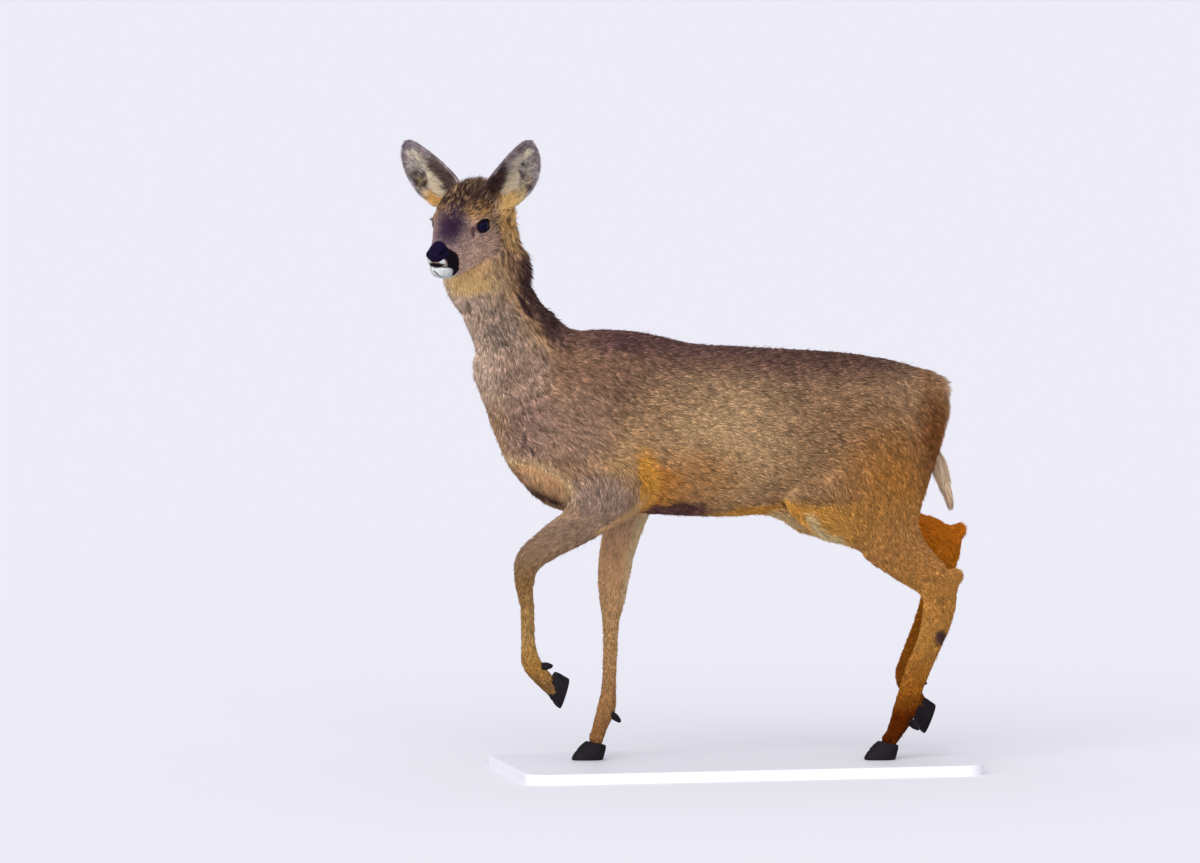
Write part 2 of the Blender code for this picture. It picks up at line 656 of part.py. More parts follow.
places = np.vstack([[v.co[:] for v in piece.data.vertices] for piece in pieces.values()])
low, high = places.min(0), places.max(0)
to_origin = -Vector(((low[0] + high[0]) / 2, (low[1] + high[1]) / 2, low[2]))
for name, piece in pieces.items():
    piece.name = name
    piece.data.name = name
    piece.data.transform(Matrix.Scale(MM, 4) @ Matrix.Translation(to_origin))
    material = bpy.data.materials.new(name)
    material.use_nodes = True
    shader = material.node_tree.nodes["Principled BSDF"]
    colour = COLOURS.get(name.split("_")[0], COAT)
    shader.inputs["Base Color"].default_value = (*colour, 1.0)
    shader.inputs["Roughness"].default_value = 0.15 if name.startswith("eye") else 0.8
    piece.data.materials.clear()
    piece.data.materials.append(material)
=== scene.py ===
"""A roe deer doe, life size, in a slow walk with its head turned to its left, on a low flat base.

One skin covers the whole animal. The coat is solid tufts that grow from it, in pieces for the neck,
trunk, limbs, head and ears. Eyes, nose leather, claws, lashes and the long hair under the tail are
their own pieces. Shapes are worked out in millimetres in the animal's own frame: it faces -X, its
left side is towards -Y, and its soles stand at height 0.
"""

import bmesh
import bpy
import numpy as np
import openvdb
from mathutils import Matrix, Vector


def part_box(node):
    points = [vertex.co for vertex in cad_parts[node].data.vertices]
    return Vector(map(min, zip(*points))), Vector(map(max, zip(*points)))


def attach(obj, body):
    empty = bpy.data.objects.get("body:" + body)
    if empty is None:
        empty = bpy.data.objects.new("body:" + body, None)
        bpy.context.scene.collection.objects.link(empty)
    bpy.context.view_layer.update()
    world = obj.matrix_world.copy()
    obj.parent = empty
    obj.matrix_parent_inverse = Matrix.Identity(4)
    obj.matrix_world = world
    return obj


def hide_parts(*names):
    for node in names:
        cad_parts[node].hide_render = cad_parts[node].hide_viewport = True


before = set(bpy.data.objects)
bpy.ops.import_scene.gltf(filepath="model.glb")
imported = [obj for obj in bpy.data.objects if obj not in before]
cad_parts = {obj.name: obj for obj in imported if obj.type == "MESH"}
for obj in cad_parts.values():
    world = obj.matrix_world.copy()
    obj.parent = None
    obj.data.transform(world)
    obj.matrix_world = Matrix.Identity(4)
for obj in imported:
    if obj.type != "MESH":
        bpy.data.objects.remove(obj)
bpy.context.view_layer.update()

# ---------------------------------------------------------------- where the animal stands
# The soles stand on the base with a sliver of air under them, and the middle of the base lies behind
# the animal's own origin, midway between the two feet that carry it.
ORIGIN_AHEAD, SOLE_GAP = 0.060, 0.00035  # metres
base_low, base_high = (np.array(corner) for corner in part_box("stand_base"))
STANDS_AT = np.array([0.5 * (base_low[0] + base_high[0]) - ORIGIN_AHEAD, 0.0, base_high[2] + SOLE_GAP])
HEAD_CENTRE = np.array([-370.5, -65.0, 811.5])  # midway between the eyes
HEAD_YAW, HEAD_PITCH = np.radians(50.0), np.radians(18.0)  # to its left, and nose down


def in_room(points):
    """Millimetres in the animal's frame as metres in the room: a thousandth, plus the standing place."""
    return np.asarray(points, float) * 0.001 + STANDS_AT


def unit(vectors):
    """Each vector divided by its length."""
    vectors = np.asarray(vectors, float)
    return vectors / np.maximum(np.linalg.norm(vectors, axis=-1, keepdims=True), 1e-9)


FORWARD = np.array([
    -np.cos(HEAD_PITCH) * np.cos(HEAD_YAW),
    -np.cos(HEAD_PITCH) * np.sin(HEAD_YAW),
    -np.sin(HEAD_PITCH),
])
LEFT = np.array([np.sin(HEAD_YAW), -np.cos(HEAD_YAW), 0.0])
HEAD_AXES = np.array([FORWARD, LEFT, np.cross(FORWARD, LEFT)])


def in_head(places):
    """Places given forward, to the left and up from the middle of the head, in the animal's frame."""
    return HEAD_CENTRE + np.asarray(places, float) @ HEAD_AXES


def from_head(points):
    """The same the other way: how far each point is forward, to the left and up from the head's middle."""
    return (np.asarray(points, float) - HEAD_CENTRE) @ HEAD_AXES.T


# ---------------------------------------------------------------- the flesh under the skin
# Muscle groups, limbs and bones, each a line of oval sections: place, half depth and half width. The
# skin is drawn over all of them together, and lies a coat's depth inside the outline of the hair.
TRUNK = [
    (-245, 0, 518, 39, 35), (-228, 0, 520, 86, 59), (-193, 0, 518, 127, 83), (-117, 0, 512, 136, 93),
    (-25, 0, 498.5, 130.5, 98), (67, 0, 494, 128, 99), (159, 0, 497, 119, 94), (236, 0, 500, 109, 90),
    (286, 0, 507, 91, 84), (316, 0, 520, 68, 68),
]
NECK = [
    (-318, -8, 802, 42, 38), (-321, -6, 770, 54, 42), (-321, -4, 735, 66, 46), (-309, -2, 702, 58, 46),
    (-294, 0, 672, 59, 48), (-281, 0, 647, 62, 52), (-267, 0, 621, 71, 58), (-257, 0, 592, 82, 64),
    (-238, 0, 558, 86, 70),
]
BREAST = [(-229, 0, 448, 31, 40), (-210, 0, 420, 34, 46), (-160, 0, 402, 30, 44)]
TAIL_ROOT = [(290, 0, 562, 30, 36), (343, 0, 553, 28, 32), (364, 0, 552, 22, 24)]
THROAT_KNOT = [(-324, 0, 604, 14, 18), (-326, 0, 587, 13, 17)]
UDDER = [(120, 0, 391, 21, 34), (160, 0, 371, 25, 36), (196, 0, 366, 25, 34)]
SHOULDER = [
    (-120, -52, 592, 44, 26), (-165, -62, 545, 56, 32), (-206, -58, 480, 56, 34), (-220, -50, 448, 44, 30),
]
LEFT_UPPER_ARM = [(-218, -54, 456, 42, 28), (-175, -62, 432, 52, 31), (-133, -62, 418, 46, 30)]
RIGHT_UPPER_ARM = [(-212, 54, 462, 42, 28), (-150, 62, 438, 50, 31), (-92, 60, 420, 44, 30)]
HAUNCH = [(262, -44, 530, 56, 40), (282, -52, 490, 72, 42), (262, -58, 440, 78, 38), (240, -62, 392, 64, 34)]
BUTTOCK = [(334, -36, 528, 42, 38), (317, -40, 480, 40, 36), (304, -44, 430, 40, 34), (292, -50, 388, 36, 30)]
FLANK_FOLD = [(150, -66, 397, 32, 16), (186, -66, 368, 35, 18), (222, -64, 359, 34, 20)]
LEFT_FORELEG = [
    (-140, -62, 418, 52, 30), (-183, -60, 370, 33, 25), (-233, -57, 337, 25, 20), (-266, -54, 310, 21, 18),
    (-273, -52, 276, 15, 14), (-269, -51, 240, 11.5, 11), (-267, -50, 188, 11.5, 11), (-262, -49, 156, 15, 14),
    (-243, -48, 131, 14, 14), (-228, -48, 116, 13, 14),
]
RIGHT_FORELEG = [
    (-78, 60, 418, 42, 32), (-94, 58, 366, 32, 26), (-107, 55, 321, 28, 22), (-115, 52, 276, 25, 19),
    (-118, 50, 239, 20, 17), (-120, 49, 209, 14, 13), (-121, 48, 171, 12, 11), (-124, 45, 111, 12, 11),
    (-128, 44, 78, 15, 14.5), (-138, 43, 49, 12.5, 13), (-144, 42, 32, 12, 13.5),
]
LEFT_HIND_LEG = [
    (252, -62, 420, 72, 36), (274, -64, 350, 54, 30), (312, -60, 302, 37, 22), (343, -56, 277, 31, 19),
    (361, -54, 250, 28, 17.5), (360, -53, 216, 25, 15), (349, -52, 179, 21, 13.5), (333, -50, 141, 20, 13),
    (319, -49, 104, 19, 13), (307, -48, 66, 18, 15), (296, -47, 42, 14, 14), (288, -46, 30, 13, 14),
]
RIGHT_HIND_LEG = [
    (262, 62, 430, 70, 36), (290, 64, 372, 50, 30), (340, 60, 342, 29, 22), (375, 56, 331, 25, 19),
    (399, 54, 315, 23, 17.5), (392, 53, 284, 23, 15), (371, 51, 212, 18, 13.5), (345, 49, 145, 18, 13),
    (336, 48, 115, 18, 15), (346, 47, 90, 14, 14), (362, 46, 68, 13, 14),
]
LEFT_HOCK_POINT = [(386, -54, 276, 13, 11), (372, -54, 258, 16, 13)]
RIGHT_HOCK_POINT = [(419, 54, 336, 12, 11), (404, 54, 322, 16, 13)]
# The forms below are in the head's own directions: forward, left, up, half height and half width.
SKULL = [
    (-64, 0, 8, 35, 32), (-42, 0, 9, 42, 37), (-12, 0, 6, 44, 40), (13, 0, -3, 39, 35), (38, 0, -15, 31, 27.5),
    (60, 0, -25, 26, 22.5), (74, 0, -27, 20, 21.5),
]
LOWER_JAW = [
    (-34, 0, -40, 26, 27), (2, 0, -50, 21, 22), (40, 0, -51, 14.5, 17), (63, 0, -48.5, 13.5, 17),
    (79, 0, -44, 11, 17),
]
THROAT = [(-58, 0, -20, 34, 32), (-40, 0, -52, 30, 30)]
CHEEK = [(-30, 22, -28, 28, 17), (2, 20, -26, 24, 15)]
BROW = [(-14, 30, 14, 12, 9), (10, 28, 13, 9, 8)]
EAR_STUMP = [(-44, 20, 8, 16, 16), (-58, 33, 4, 16, 15), (-68, 37, -8, 14, 14), (-70, 34, -25, 11, 12)]


def other_side(rows):
    """The same form on the animal's other side: every sideways place with its sign changed."""
    return [(x, -y, *rest) for x, y, *rest in rows]


def smooth_rows(rows, per_span):
    """Points on the Catmull-Rom curve through the rows: each span is a cubic whose slopes at its ends
    are half the step between the neighbouring rows."""
    rows = np.array(rows, float)
    padded = np.vstack([2 * rows[0] - rows[1], rows, 2 * rows[-1] - rows[-2]])
    t = np.linspace(0, 1, per_span, endpoint=False)[:, None]
    spans = []
    for a, b, c, d in zip(padded, padded[1:], padded[2:], padded[3:]):
        spans.append(b + 0.5 * t * (c - a + t * (2 * a - 5 * b + 4 * c - d + t * (3 * b - a + d - 3 * c))))
    return np.vstack([*spans, rows[-1:]])


class Form:
    """Oval sections along a smooth line. blend is how softly the form melts into the others, coat how
    deep the hair is over it, egg how much narrower its upper side is, hair the length and width of a
    tuft and its lift in degrees, lie which way the hair runs, and part the coat piece it belongs to."""

    def __init__(self, part, rows, blend, coat, hair, lie=None, egg=0.0, per_span=5):
        of_head = part == "head"
        rows = np.array(rows, float)
        if of_head:
            rows[:, :3] = in_head(rows[:, :3])
        rows[:, 3:] -= coat
        rows = smooth_rows(rows, per_span)
        self.part, self.blend, self.egg, self.hair = part, blend, egg, hair
        self.centres, self.deep, self.wide = rows[:, :3], rows[:, 3], rows[:, 4]
        self.side = LEFT if of_head else np.array([0.0, -1.0, 0.0])
        steps = unit(np.diff(self.centres, axis=0))
        self.lie = steps if lie is None else np.tile(unit(np.array(lie, float)), (len(steps), 1))

    def box(self, margin):
        """The lowest and highest corner of a box round the form, with this margin."""
        reach = np.maximum(self.deep, self.wide)[:, None] + margin
        return (self.centres - reach).min(0), (self.centres + reach).max(0)

    def measure(self, points):
        """About how far each point is outside the form, and which link it is nearest to. The distance
        is that from the link's line, less the oval's radius in that direction."""
        points = np.asarray(points, np.float32)
        best = np.full(len(points), 1e3, np.float32)
        nearest = np.zeros(len(points), np.int16)
        for i in range(len(self.centres) - 1):
            start, span = self.centres[i], self.centres[i + 1] - self.centres[i]
            length = np.linalg.norm(span)
            along = span / length
            across = unit(self.side - along * (self.side @ along))
            axes = np.stack([along, across, np.cross(across, along)], 1).astype(np.float32)
            away = (points - start.astype(np.float32)) @ axes
            t = np.clip(away[:, 0] / length, 0, 1)
            beyond = away[:, 0] - t * length
            deep = self.deep[i] + t * (self.deep[i + 1] - self.deep[i])
            wide = self.wide[i] + t * (self.wide[i + 1] - self.wide[i])
            high = away[:, 2] / deep
            if self.egg:
                wide = wide * (1 - self.egg * np.clip(high, -1, 1))
            ratio = np.sqrt(high**2 + (away[:, 1] / wide) ** 2 + (2 * beyond / (deep + wide)) ** 2) + 1e-6
            radial = np.sqrt(beyond**2 + away[:, 1] ** 2 + away[:, 2] ** 2)
            found = radial - radial / ratio
            closer = found < best
            best[closer], nearest[closer] = found[closer], i
        return best, nearest


# The hair over the forms, as length, width and lift in degrees.
BODY_HAIR, ARM_HAIR, LEG_HAIR, FACE_HAIR = (11.5, 1.45, 9), (13, 1.6, 11), (8, 1.25, 9), (6, 1.0, 9)
BODY_COAT, FACE_COAT = 3.2, 1.6  # how deep the hair lies over the trunk and over the face
NOSE_TO_CROWN = -FORWARD
forms = [
    Form("trunk", TRUNK, 30, BODY_COAT, BODY_HAIR, (0.97, 0, -0.24), egg=0.10),
    Form("neck", NECK, 26, 4.2, (11.5, 1.4, 12), egg=0.05),
    Form("trunk", BREAST, 24, 3.4, (12, 1.45, 10), (0.75, 0, -0.66)),
    Form("trunk", TAIL_ROOT, 16, 3, (15, 1.75, 12), (0.92, 0, -0.4)),
    Form("neck", THROAT_KNOT, 9, 4, (13, 1.5, 14), (0.1, 0, -1)),
    Form("trunk", UDDER, 22, BODY_COAT, (14, 1.6, 12), (0.9, 0, -0.44)),
]
forms += [Form("foreleg", rows, 16, 2.2, LEG_HAIR) for rows in (LEFT_FORELEG, RIGHT_FORELEG)]
for rows in (LEFT_UPPER_ARM, RIGHT_UPPER_ARM):
    forms.append(Form("trunk", rows, 20, BODY_COAT, ARM_HAIR, (0.5, 0, -0.87)))
forms += [Form("hindleg", rows, 18, 2.5, (9, 1.3, 9)) for rows in (LEFT_HIND_LEG, RIGHT_HIND_LEG)]
for rows, blend, hair, lie in (
    (SHOULDER, 26, BODY_HAIR, (0.72, 0, -0.69)),
    (HAUNCH, 28, BODY_HAIR, (0.62, 0, -0.78)),
    (BUTTOCK, 24, BODY_HAIR, (0.42, 0, -0.9)),
    (FLANK_FOLD, 20, ARM_HAIR, (0.85, 0, -0.52)),
):
    forms += [Form("trunk", each, blend, BODY_COAT, hair, lie) for each in (rows, other_side(rows))]
for rows in (LEFT_HOCK_POINT, RIGHT_HOCK_POINT):
    forms.append(Form("hindleg", rows, 9, 2, (8, 1.3, 9), (0.2, 0, -1)))
forms += [
    Form("head", SKULL, 10, FACE_COAT, FACE_HAIR, NOSE_TO_CROWN, egg=0.10, per_span=4),
    Form("head", LOWER_JAW, 12, FACE_COAT, FACE_HAIR, NOSE_TO_CROWN, per_span=4),
    Form("head", THROAT, 18, 3.2, (11, 1.3, 9), (0.1, 0.1, -1), per_span=3),
]
for mirror in (list, other_side):
    forms += [
        Form("head", mirror(CHEEK), 12, 2, (7, 1.0, 8), NOSE_TO_CROWN, per_span=3),
        Form("head", mirror(BROW), 8, FACE_COAT, FACE_HAIR, NOSE_TO_CROWN, per_span=3),
        Form("head", mirror(EAR_STUMP), 12, 2, (9, 1.1, 9), HEAD_AXES[2], per_span=3),
    ]


def melt(a, b, width):
    """The smaller of two distances, rounded where they are within the blend width of each other."""
    near = np.maximum(width - np.abs(a - b), 0) / width
    return np.minimum(a, b) - near * near * width / 4


FAR = 50.0  # a distance that counts as nowhere near the flesh
FORM_REACH = 32.0  # a form is measured this far round it, a little over the widest blend


def flesh(points):
    """The distance of each point outside all the forms, melted into each other one after another."""
    found = np.full(len(points), FAR, np.float32)
    for form in forms:
        low, high = form.box(FORM_REACH)
        near = ((points > low) & (points < high)).all(1)
        if near.any():
            found[near] = melt(found[near], form.measure(points[near])[0], form.blend)
    return found


# The animal's two sides, by the sign of a place towards its left.
SIDES = {1: "left", -1: "right"}
# The eyeballs, and the almond between the lids: half its width, and half its height above and below.
EYE_RADIUS = 13.2
EYE_PLACE = np.array([2.8, 32.4, 0.5])
EYE_LOOK = np.array([0.48, 0.87, 0.08])
LID_WIDE, LID_ABOVE, LID_BELOW = 11.9, 8.7, 8.5
LID_CORNER, LID_POWER = 1.12, 1.8  # the corner towards the nose is longer, and the almond squarer than an oval
LID_OVER_BALL, LID_REACH_IN = 2.0, 1.6  # how far the lid lies over the ball, and its opening sinks into it
SLIT_DEEP, LIPS_DEEP, FOLD_HIGH = 1.4, 1.7, 5.0


def eye_frame(side):
    """The eyeball's middle, and three directions in the animal's frame: towards the nose, up, and out."""
    centre = in_head(EYE_PLACE * (1, side, 1))
    out = unit((EYE_LOOK * (1, side, 1)) @ HEAD_AXES)
    up = unit(HEAD_AXES[2] - out * (HEAD_AXES[2] @ out))
    nosewards = np.cross(up, out) * side
    return centre, np.array([nosewards, up, out])


def almond(toward_nose, up):
    """How far outside the lids' opening a place is, as a share of its size: the oval's radius in both
    directions, with the corner towards the nose drawn out."""
    wide = LID_WIDE * np.where(toward_nose > 0, LID_CORNER, 1.0)
    high = np.where(up > 0, LID_ABOVE, LID_BELOW)
    return np.abs(toward_nose / wide) ** LID_POWER + np.abs(up / high) ** LID_POWER


def mouth_height(forth):
    """How high the line between the lips runs, in the head's frame: level at the front, then straight
    down and back."""
    return -32.5 - 0.40 * np.maximum(89 - forth, 0)


# The fold where the coat of the shoulder hangs over the breast, as places along and heights, on both sides.
BREAST_FOLD = [(-294, 457), (-257, 452), (-230, 438), (-215, 427), (-205, 414), (-208, 399), (-222, 390)]


def from_line(x, z, line):
    """How far each place is from a bent line: the least distance to its straight stretches, less the
    line's half width there where its rows give one."""
    places, best = np.column_stack([x, z]), np.full(len(x), 1e3)
    rows = np.array(line, float)
    half = rows[:, 2] if rows.shape[1] > 2 else np.zeros(len(rows))
    for a, b, first, last in zip(rows[:, :2], rows[1:, :2], half, half[1:]):
        t = np.clip((places - a) @ (b - a) / ((b - a) @ (b - a)), 0, 1)
        away = np.linalg.norm(places - a - t[:, None] * (b - a), axis=1) - first - t * (last - first)
        best = np.minimum(best, away)
    return best


def along_line(x, z, line, width):
    """1 on a bent line, falling off to both sides as a bell curve of this width."""
    return np.exp(-((from_line(x, z, line) / width) ** 2))


def step(low, high, values):
    """0 below low and 1 above high, with a smooth ease between."""
    t = np.clip((values - low) / (high - low), 0, 1)
    return t * t * (3 - 2 * t)


def skin_field(points):
    """The flesh pressed in along the breast's fold, and with the face's own forms: a lid over each
    eyeball, open in an almond down to the ball, a slit in front of it, and the groove between the lips."""
    found = flesh(points)
    breast = (points[:, 0] < -180) & (points[:, 2] < 480) & (points[:, 2] > 370) & (np.abs(points[:, 1]) > 8)
    if breast.any():
        x, y, z = points[breast].T
        found[breast] += FOLD_HIGH * along_line(x, z, BREAST_FOLD, 5.5) * step(14, 30, np.abs(y))
    place = from_head(points)
    face = (np.abs(place) < (115, 60, 75)).all(1)
    if not face.any():
        return found
    inside, near = found[face], points[face]
    for side in SIDES:
        centre, axes = eye_frame(side)
        local = (near - centre) @ axes.T
        ball = np.linalg.norm(local, axis=1)
        inside = melt(inside, ball - (EYE_RADIUS + LID_OVER_BALL), 7.0)
        opening = (almond(local[:, 0], local[:, 1]) - 1) * 5.0
        carve = np.maximum(np.maximum(opening, EYE_RADIUS - LID_REACH_IN - ball), 2.0 - local[:, 2])
        inside = -melt(-inside, carve, 1.4)
        slit = np.exp(-(((local[:, 0] - 20) / 5) ** 2) - ((local[:, 1] + 1.0) / 1.8) ** 2)
        inside += SLIT_DEEP * slit * (local[:, 2] > -18)
    forth, _, up = place[face].T
    lips = np.exp(-(((up - mouth_height(forth)) / 1.7) ** 2)) * np.clip((forth - 46) / 8, 0, 1)
    found[face] = inside + LIPS_DEEP * lips
    return found


COARSER = 4  # how many times coarser the first grid is


def polygons(field, low, high, cell):
    """The surface where the field is zero, inside a box, as points and quads. A coarser grid finds which
    points lie near the surface, by their distance or because the sign changes beside them, and only
    those are measured finely."""
    low, high = np.array(low, float), np.array(high, float)
    rough = COARSER * cell
    counts = np.ceil((high - low) / rough).astype(int) + 2
    corners = np.stack(np.meshgrid(*[np.arange(n) for n in counts], indexing="ij"), -1).reshape(-1, 3)
    coarse = field(corners * rough + low).reshape(tuple(counts))
    crossing = np.zeros(coarse.shape, bool)
    for axis in range(3):
        for way in (1, -1):
            crossing |= (np.roll(coarse, way, axis) < 0) != (coarse < 0)
    for axis in range(3):
        crossing |= np.roll(crossing, 1, axis) | np.roll(crossing, -1, axis)

    def spread(values):
        """The coarse grid's values, each repeated over the fine cells round its own corner."""
        for axis in range(3):
            values = values.repeat(COARSER, axis)
        return np.roll(values, (COARSER // 2,) * 3, (0, 1, 2))

    fine = spread(coarse)
    near = np.argwhere(spread(crossing | (np.abs(coarse) < 1.6 * rough)))
    fine[tuple(near.T)] = field(near * cell + low)
    fine[0], fine[:, 0], fine[:, :, 0] = FAR, FAR, FAR
    fine[-1], fine[:, -1], fine[:, :, -1] = FAR, FAR, FAR
    volume = openvdb.FloatGrid(FAR)
    volume.copyFromArray(fine)
    volume.transform = openvdb.createLinearTransform(cell)
    points, quads = volume.convertToQuads(0.0)
    return points + low, quads[:, ::-1]


def settled(points, field, most):
    """The points moved onto the field's zero, along the direction in which it grows, by at most this much."""
    value = field(points)
    slope = np.stack([field(points + move) - value for move in 0.5 * np.eye(3)], 1) / 0.5
    size = np.maximum((slope**2).sum(1), 0.25)
    return points - np.clip(value / size, -most, most)[:, None] * slope


# The trunk and limbs are drawn coarsely and the head finely, and a narrow band bridges the two along
# one slanted cut through the neck.
BODY_CELL, HEAD_CELL = 5.0, 1.55
BODY_BOX = (-440, -140, -4), (450, 140, 830)
HEAD_BOX = (-470, -190, 670), (-230, 60, 925)
NECK_CUT_AT, NECK_CUT_TOWARD = np.array([-319.0, -4.0, 728.0]), unit((-0.45, -0.35, 0.82))
NECK_GAP = 2.5


def halfway(points, quads, keep_above):
    """A bmesh of this surface, cut off at the neck's plane, with only the one side kept."""
    work = bmesh.new()
    mesh = bpy.data.meshes.new("work")
    mesh.from_pydata(points.tolist(), [], quads.tolist())
    work.from_mesh(mesh)
    bpy.data.meshes.remove(mesh)
    place = NECK_CUT_AT + NECK_CUT_TOWARD * (NECK_GAP if keep_above else -NECK_GAP)
    bmesh.ops.bisect_plane(
        work, geom=[*work.verts, *work.edges, *work.faces], dist=1e-4, plane_co=place,
        plane_no=NECK_CUT_TOWARD, clear_inner=keep_above, clear_outer=not keep_above,
    )
    return work


body_points, body_quads = polygons(skin_field, *BODY_BOX, BODY_CELL)
lower = halfway(settled(body_points, skin_field, 2.0), body_quads, False)
head_points, head_quads = polygons(skin_field, *HEAD_BOX, HEAD_CELL)
upper = halfway(settled(head_points, skin_field, 0.7), head_quads, True)


def largest_shell(work):
    """Deletes from the bmesh every face but those of its largest connected shell, so that no crumb of
    the field is left."""
    work.verts.ensure_lookup_table()
    work.verts.index_update()
    ends = np.array([[e.verts[0].index, e.verts[1].index] for e in work.edges])
    label = np.arange(len(work.verts))
    while True:
        lowest = np.minimum(label[ends[:, 0]], label[ends[:, 1]])
        new = label.copy()
        np.minimum.at(new, ends[:, 0], lowest)
        np.minimum.at(new, ends[:, 1], lowest)
        new = new[new]
        if (new == label).all():
            break
        label = new
    keep = np.bincount(label).argmax()
    bmesh.ops.delete(work, geom=[v for v, at in zip(work.verts, label) if at != keep], context="VERTS")


joined = bpy.data.meshes.new("joined")
largest_shell(lower)
lower.to_mesh(joined)
lower.free()
largest_shell(upper)
upper.from_mesh(joined)
bpy.data.meshes.remove(joined)
bmesh.ops.bridge_loops(upper, edges=[e for e in upper.edges if e.is_boundary])
bmesh.ops.triangulate(upper, faces=[f for f in upper.faces if len(f.verts) > 4])
skin_mesh = bpy.data.meshes.new("skin")
upper.to_mesh(skin_mesh)
upper.free()


def arrays_of(mesh):
    """The mesh's points and triangles as arrays."""
    mesh.calc_loop_triangles()
    points = np.empty(3 * len(mesh.vertices), np.float32)
    mesh.vertices.foreach_get("co", points)
    triangles = np.empty(3 * len(mesh.loop_triangles), np.int32)
    mesh.loop_triangles.foreach_get("vertices", triangles)
    return points.reshape(-1, 3).astype(float), triangles.reshape(-1, 3)


def facing_out(points, faces):
    """The triangles of a closed surface, all turned round if the volume that they enclose is negative."""
    return faces[:, ::-1] if np.linalg.det(points[faces] - points.mean(0)).sum() < 0 else faces


skin_points, skin_faces = arrays_of(skin_mesh)
skin_faces = facing_out(skin_points, skin_faces)
bpy.data.meshes.remove(skin_mesh)

# ---------------------------------------------------------------- the ears
# Each ear is a cupped leaf of gristle under thin skin, rolled into a tube where it leaves the head. It
# is a closed shell, a hollow side and a back side that meet in a thin rim, sunk in the stump on the head.
EAR_ROOT = np.array([-52.6, 19.6, 2.8])
EAR_TIP = {1: np.array([-59.2, 106.4, 110.9]), -1: np.array([-64.1, 111.6, 103.8])}
EAR_OPENS = {1: np.radians(13), -1: np.radians(-14)}  # how far each turns out from straight ahead
# Sizes by the share of its length: half widths from the middle to the inner and to the outer edge, how
# deep the cup is, and how thick the gristle.
EAR_INNER = [
    (0.0, 9), (0.12, 21.5), (0.30, 26.8), (0.5, 25.3), (0.7, 20.7), (0.86, 15.2), (0.96, 9.2), (1.0, 2),
]
EAR_OUTER = [
    (0.0, 5), (0.12, 12.5), (0.21, 22), (0.30, 29.1), (0.5, 34.4), (0.7, 31.1), (0.86, 22.1), (0.96, 11.1),
    (1.0, 2),
]
EAR_CUP = [(0.0, 9), (0.1, 17), (0.2, 23), (0.35, 20), (0.6, 12), (0.85, 6), (1.0, 2)]
EAR_THICK = [(0.0, 8), (0.2, 6.5), (0.5, 4), (0.9, 2.6), (1.0, 1.6)]


def profile(rows, shares):
    """A size along a piece: the Catmull-Rom curve through the rows, read at each share of the length."""
    curve = smooth_rows([(a, b, 0) for a, b in rows], 8)
    return np.interp(shares, curve[:, 0], curve[:, 1])


def ear_frame(side):
    """The ear's root, its line to the tip, the way it opens, and the way across to its outer edge."""
    root, tip = in_head(EAR_ROOT * (1, side, 1)), in_head(EAR_TIP[side] * (1, side, 1))
    along = unit(tip - root)
    ahead = unit(FORWARD - along * (FORWARD @ along))
    outward = unit(np.cross(along, ahead) * side)
    opens = np.cos(EAR_OPENS[side]) * ahead + np.sin(EAR_OPENS[side]) * outward
    return root, tip - root, opens, unit(np.cross(opens, along)) * -side


def ear_surface(side, shares, steps):
    """Points of the hollow and of the back. The hollow rises from the ear's line as the step across it to
    the power 2.2, with three faint ridges; the back lies one thickness behind, thinning to the rim."""
    root, span, opens, across = ear_frame(side)
    s, t = shares[:, None], steps[None, :]
    tables = (EAR_INNER, EAR_OUTER, EAR_CUP, EAR_THICK)
    inner, outer, cup, thick = (profile(rows, shares)[:, None] for rows in tables)
    wide = np.where(t < 0, inner, outer)
    arch = np.sin(np.pi * s)
    line = root + span * s[..., None] + (opens * -7 + across * 3) * arch[..., None]
    curl = 1 + 0.25 * np.clip((0.35 - s) / 0.35, 0, 1)
    rise = cup * np.abs(t) ** 2.2 * curl - cup * 0.45
    ridges = 0.7 * arch * np.cos(3.5 * np.pi * t) * (1 - t**2)
    hollow = line + across * (wide * t)[..., None] + opens * (rise + ridges)[..., None]
    behind = rise - thick * (1 - 0.75 * t * t)
    back = line + across * (wide * t * 1.02)[..., None] + opens * behind[..., None]
    return hollow, back


def tube_faces(rings, around):
    """Quads of a closed tube of rings, as two triangles each, with a fan to a middle point at both ends.
    The two middle points come last."""
    k, i = np.meshgrid(np.arange(rings - 1), np.arange(around), indexing="ij")
    a, b = k * around + i, k * around + (i + 1) % around
    faces = [np.stack(corners, -1).reshape(-1, 3) for corners in ((a, b, b + around), (a, b + around, a + around))]
    ring, end, last = np.arange(around), rings * around, (rings - 1) * around
    after = (ring + 1) % around
    faces.append(np.stack([np.full(around, end), after, ring], -1))
    faces.append(np.stack([np.full(around, end + 1), last + ring, last + after], -1))
    return np.vstack(faces)


def closed_tube(rings):
    """Points and outward triangles of a tube through these rings of points, closed at both ends."""
    count, around = rings.shape[:2]
    points = np.vstack([rings.reshape(-1, 3), rings[0].mean(0), rings[-1].mean(0)])
    return points, facing_out(points, tube_faces(count, around))


EAR_RINGS, EAR_STEPS = 60, 29
ear_shares = 1 - (1 - np.linspace(0, 1, EAR_RINGS)) ** 1.25
ear_steps = np.sin(np.linspace(-0.5, 0.5, EAR_STEPS) * np.pi)
ear_shells = {}
for side in SIDES:
    hollow, back = ear_surface(side, ear_shares, ear_steps)
    ear_shells[side] = closed_tube(np.concatenate([hollow, back[:, ::-1]], 1))

# ---------------------------------------------------------------- the rims of the lids
# The bare dark edge of each lid, a soft roll that rests on the eyeball all round the almond.
LID_TURNS, LID_AROUND = 96, 10
RIM_HALF_WIDE, RIM_HALF_THICK = 1.15, 0.9


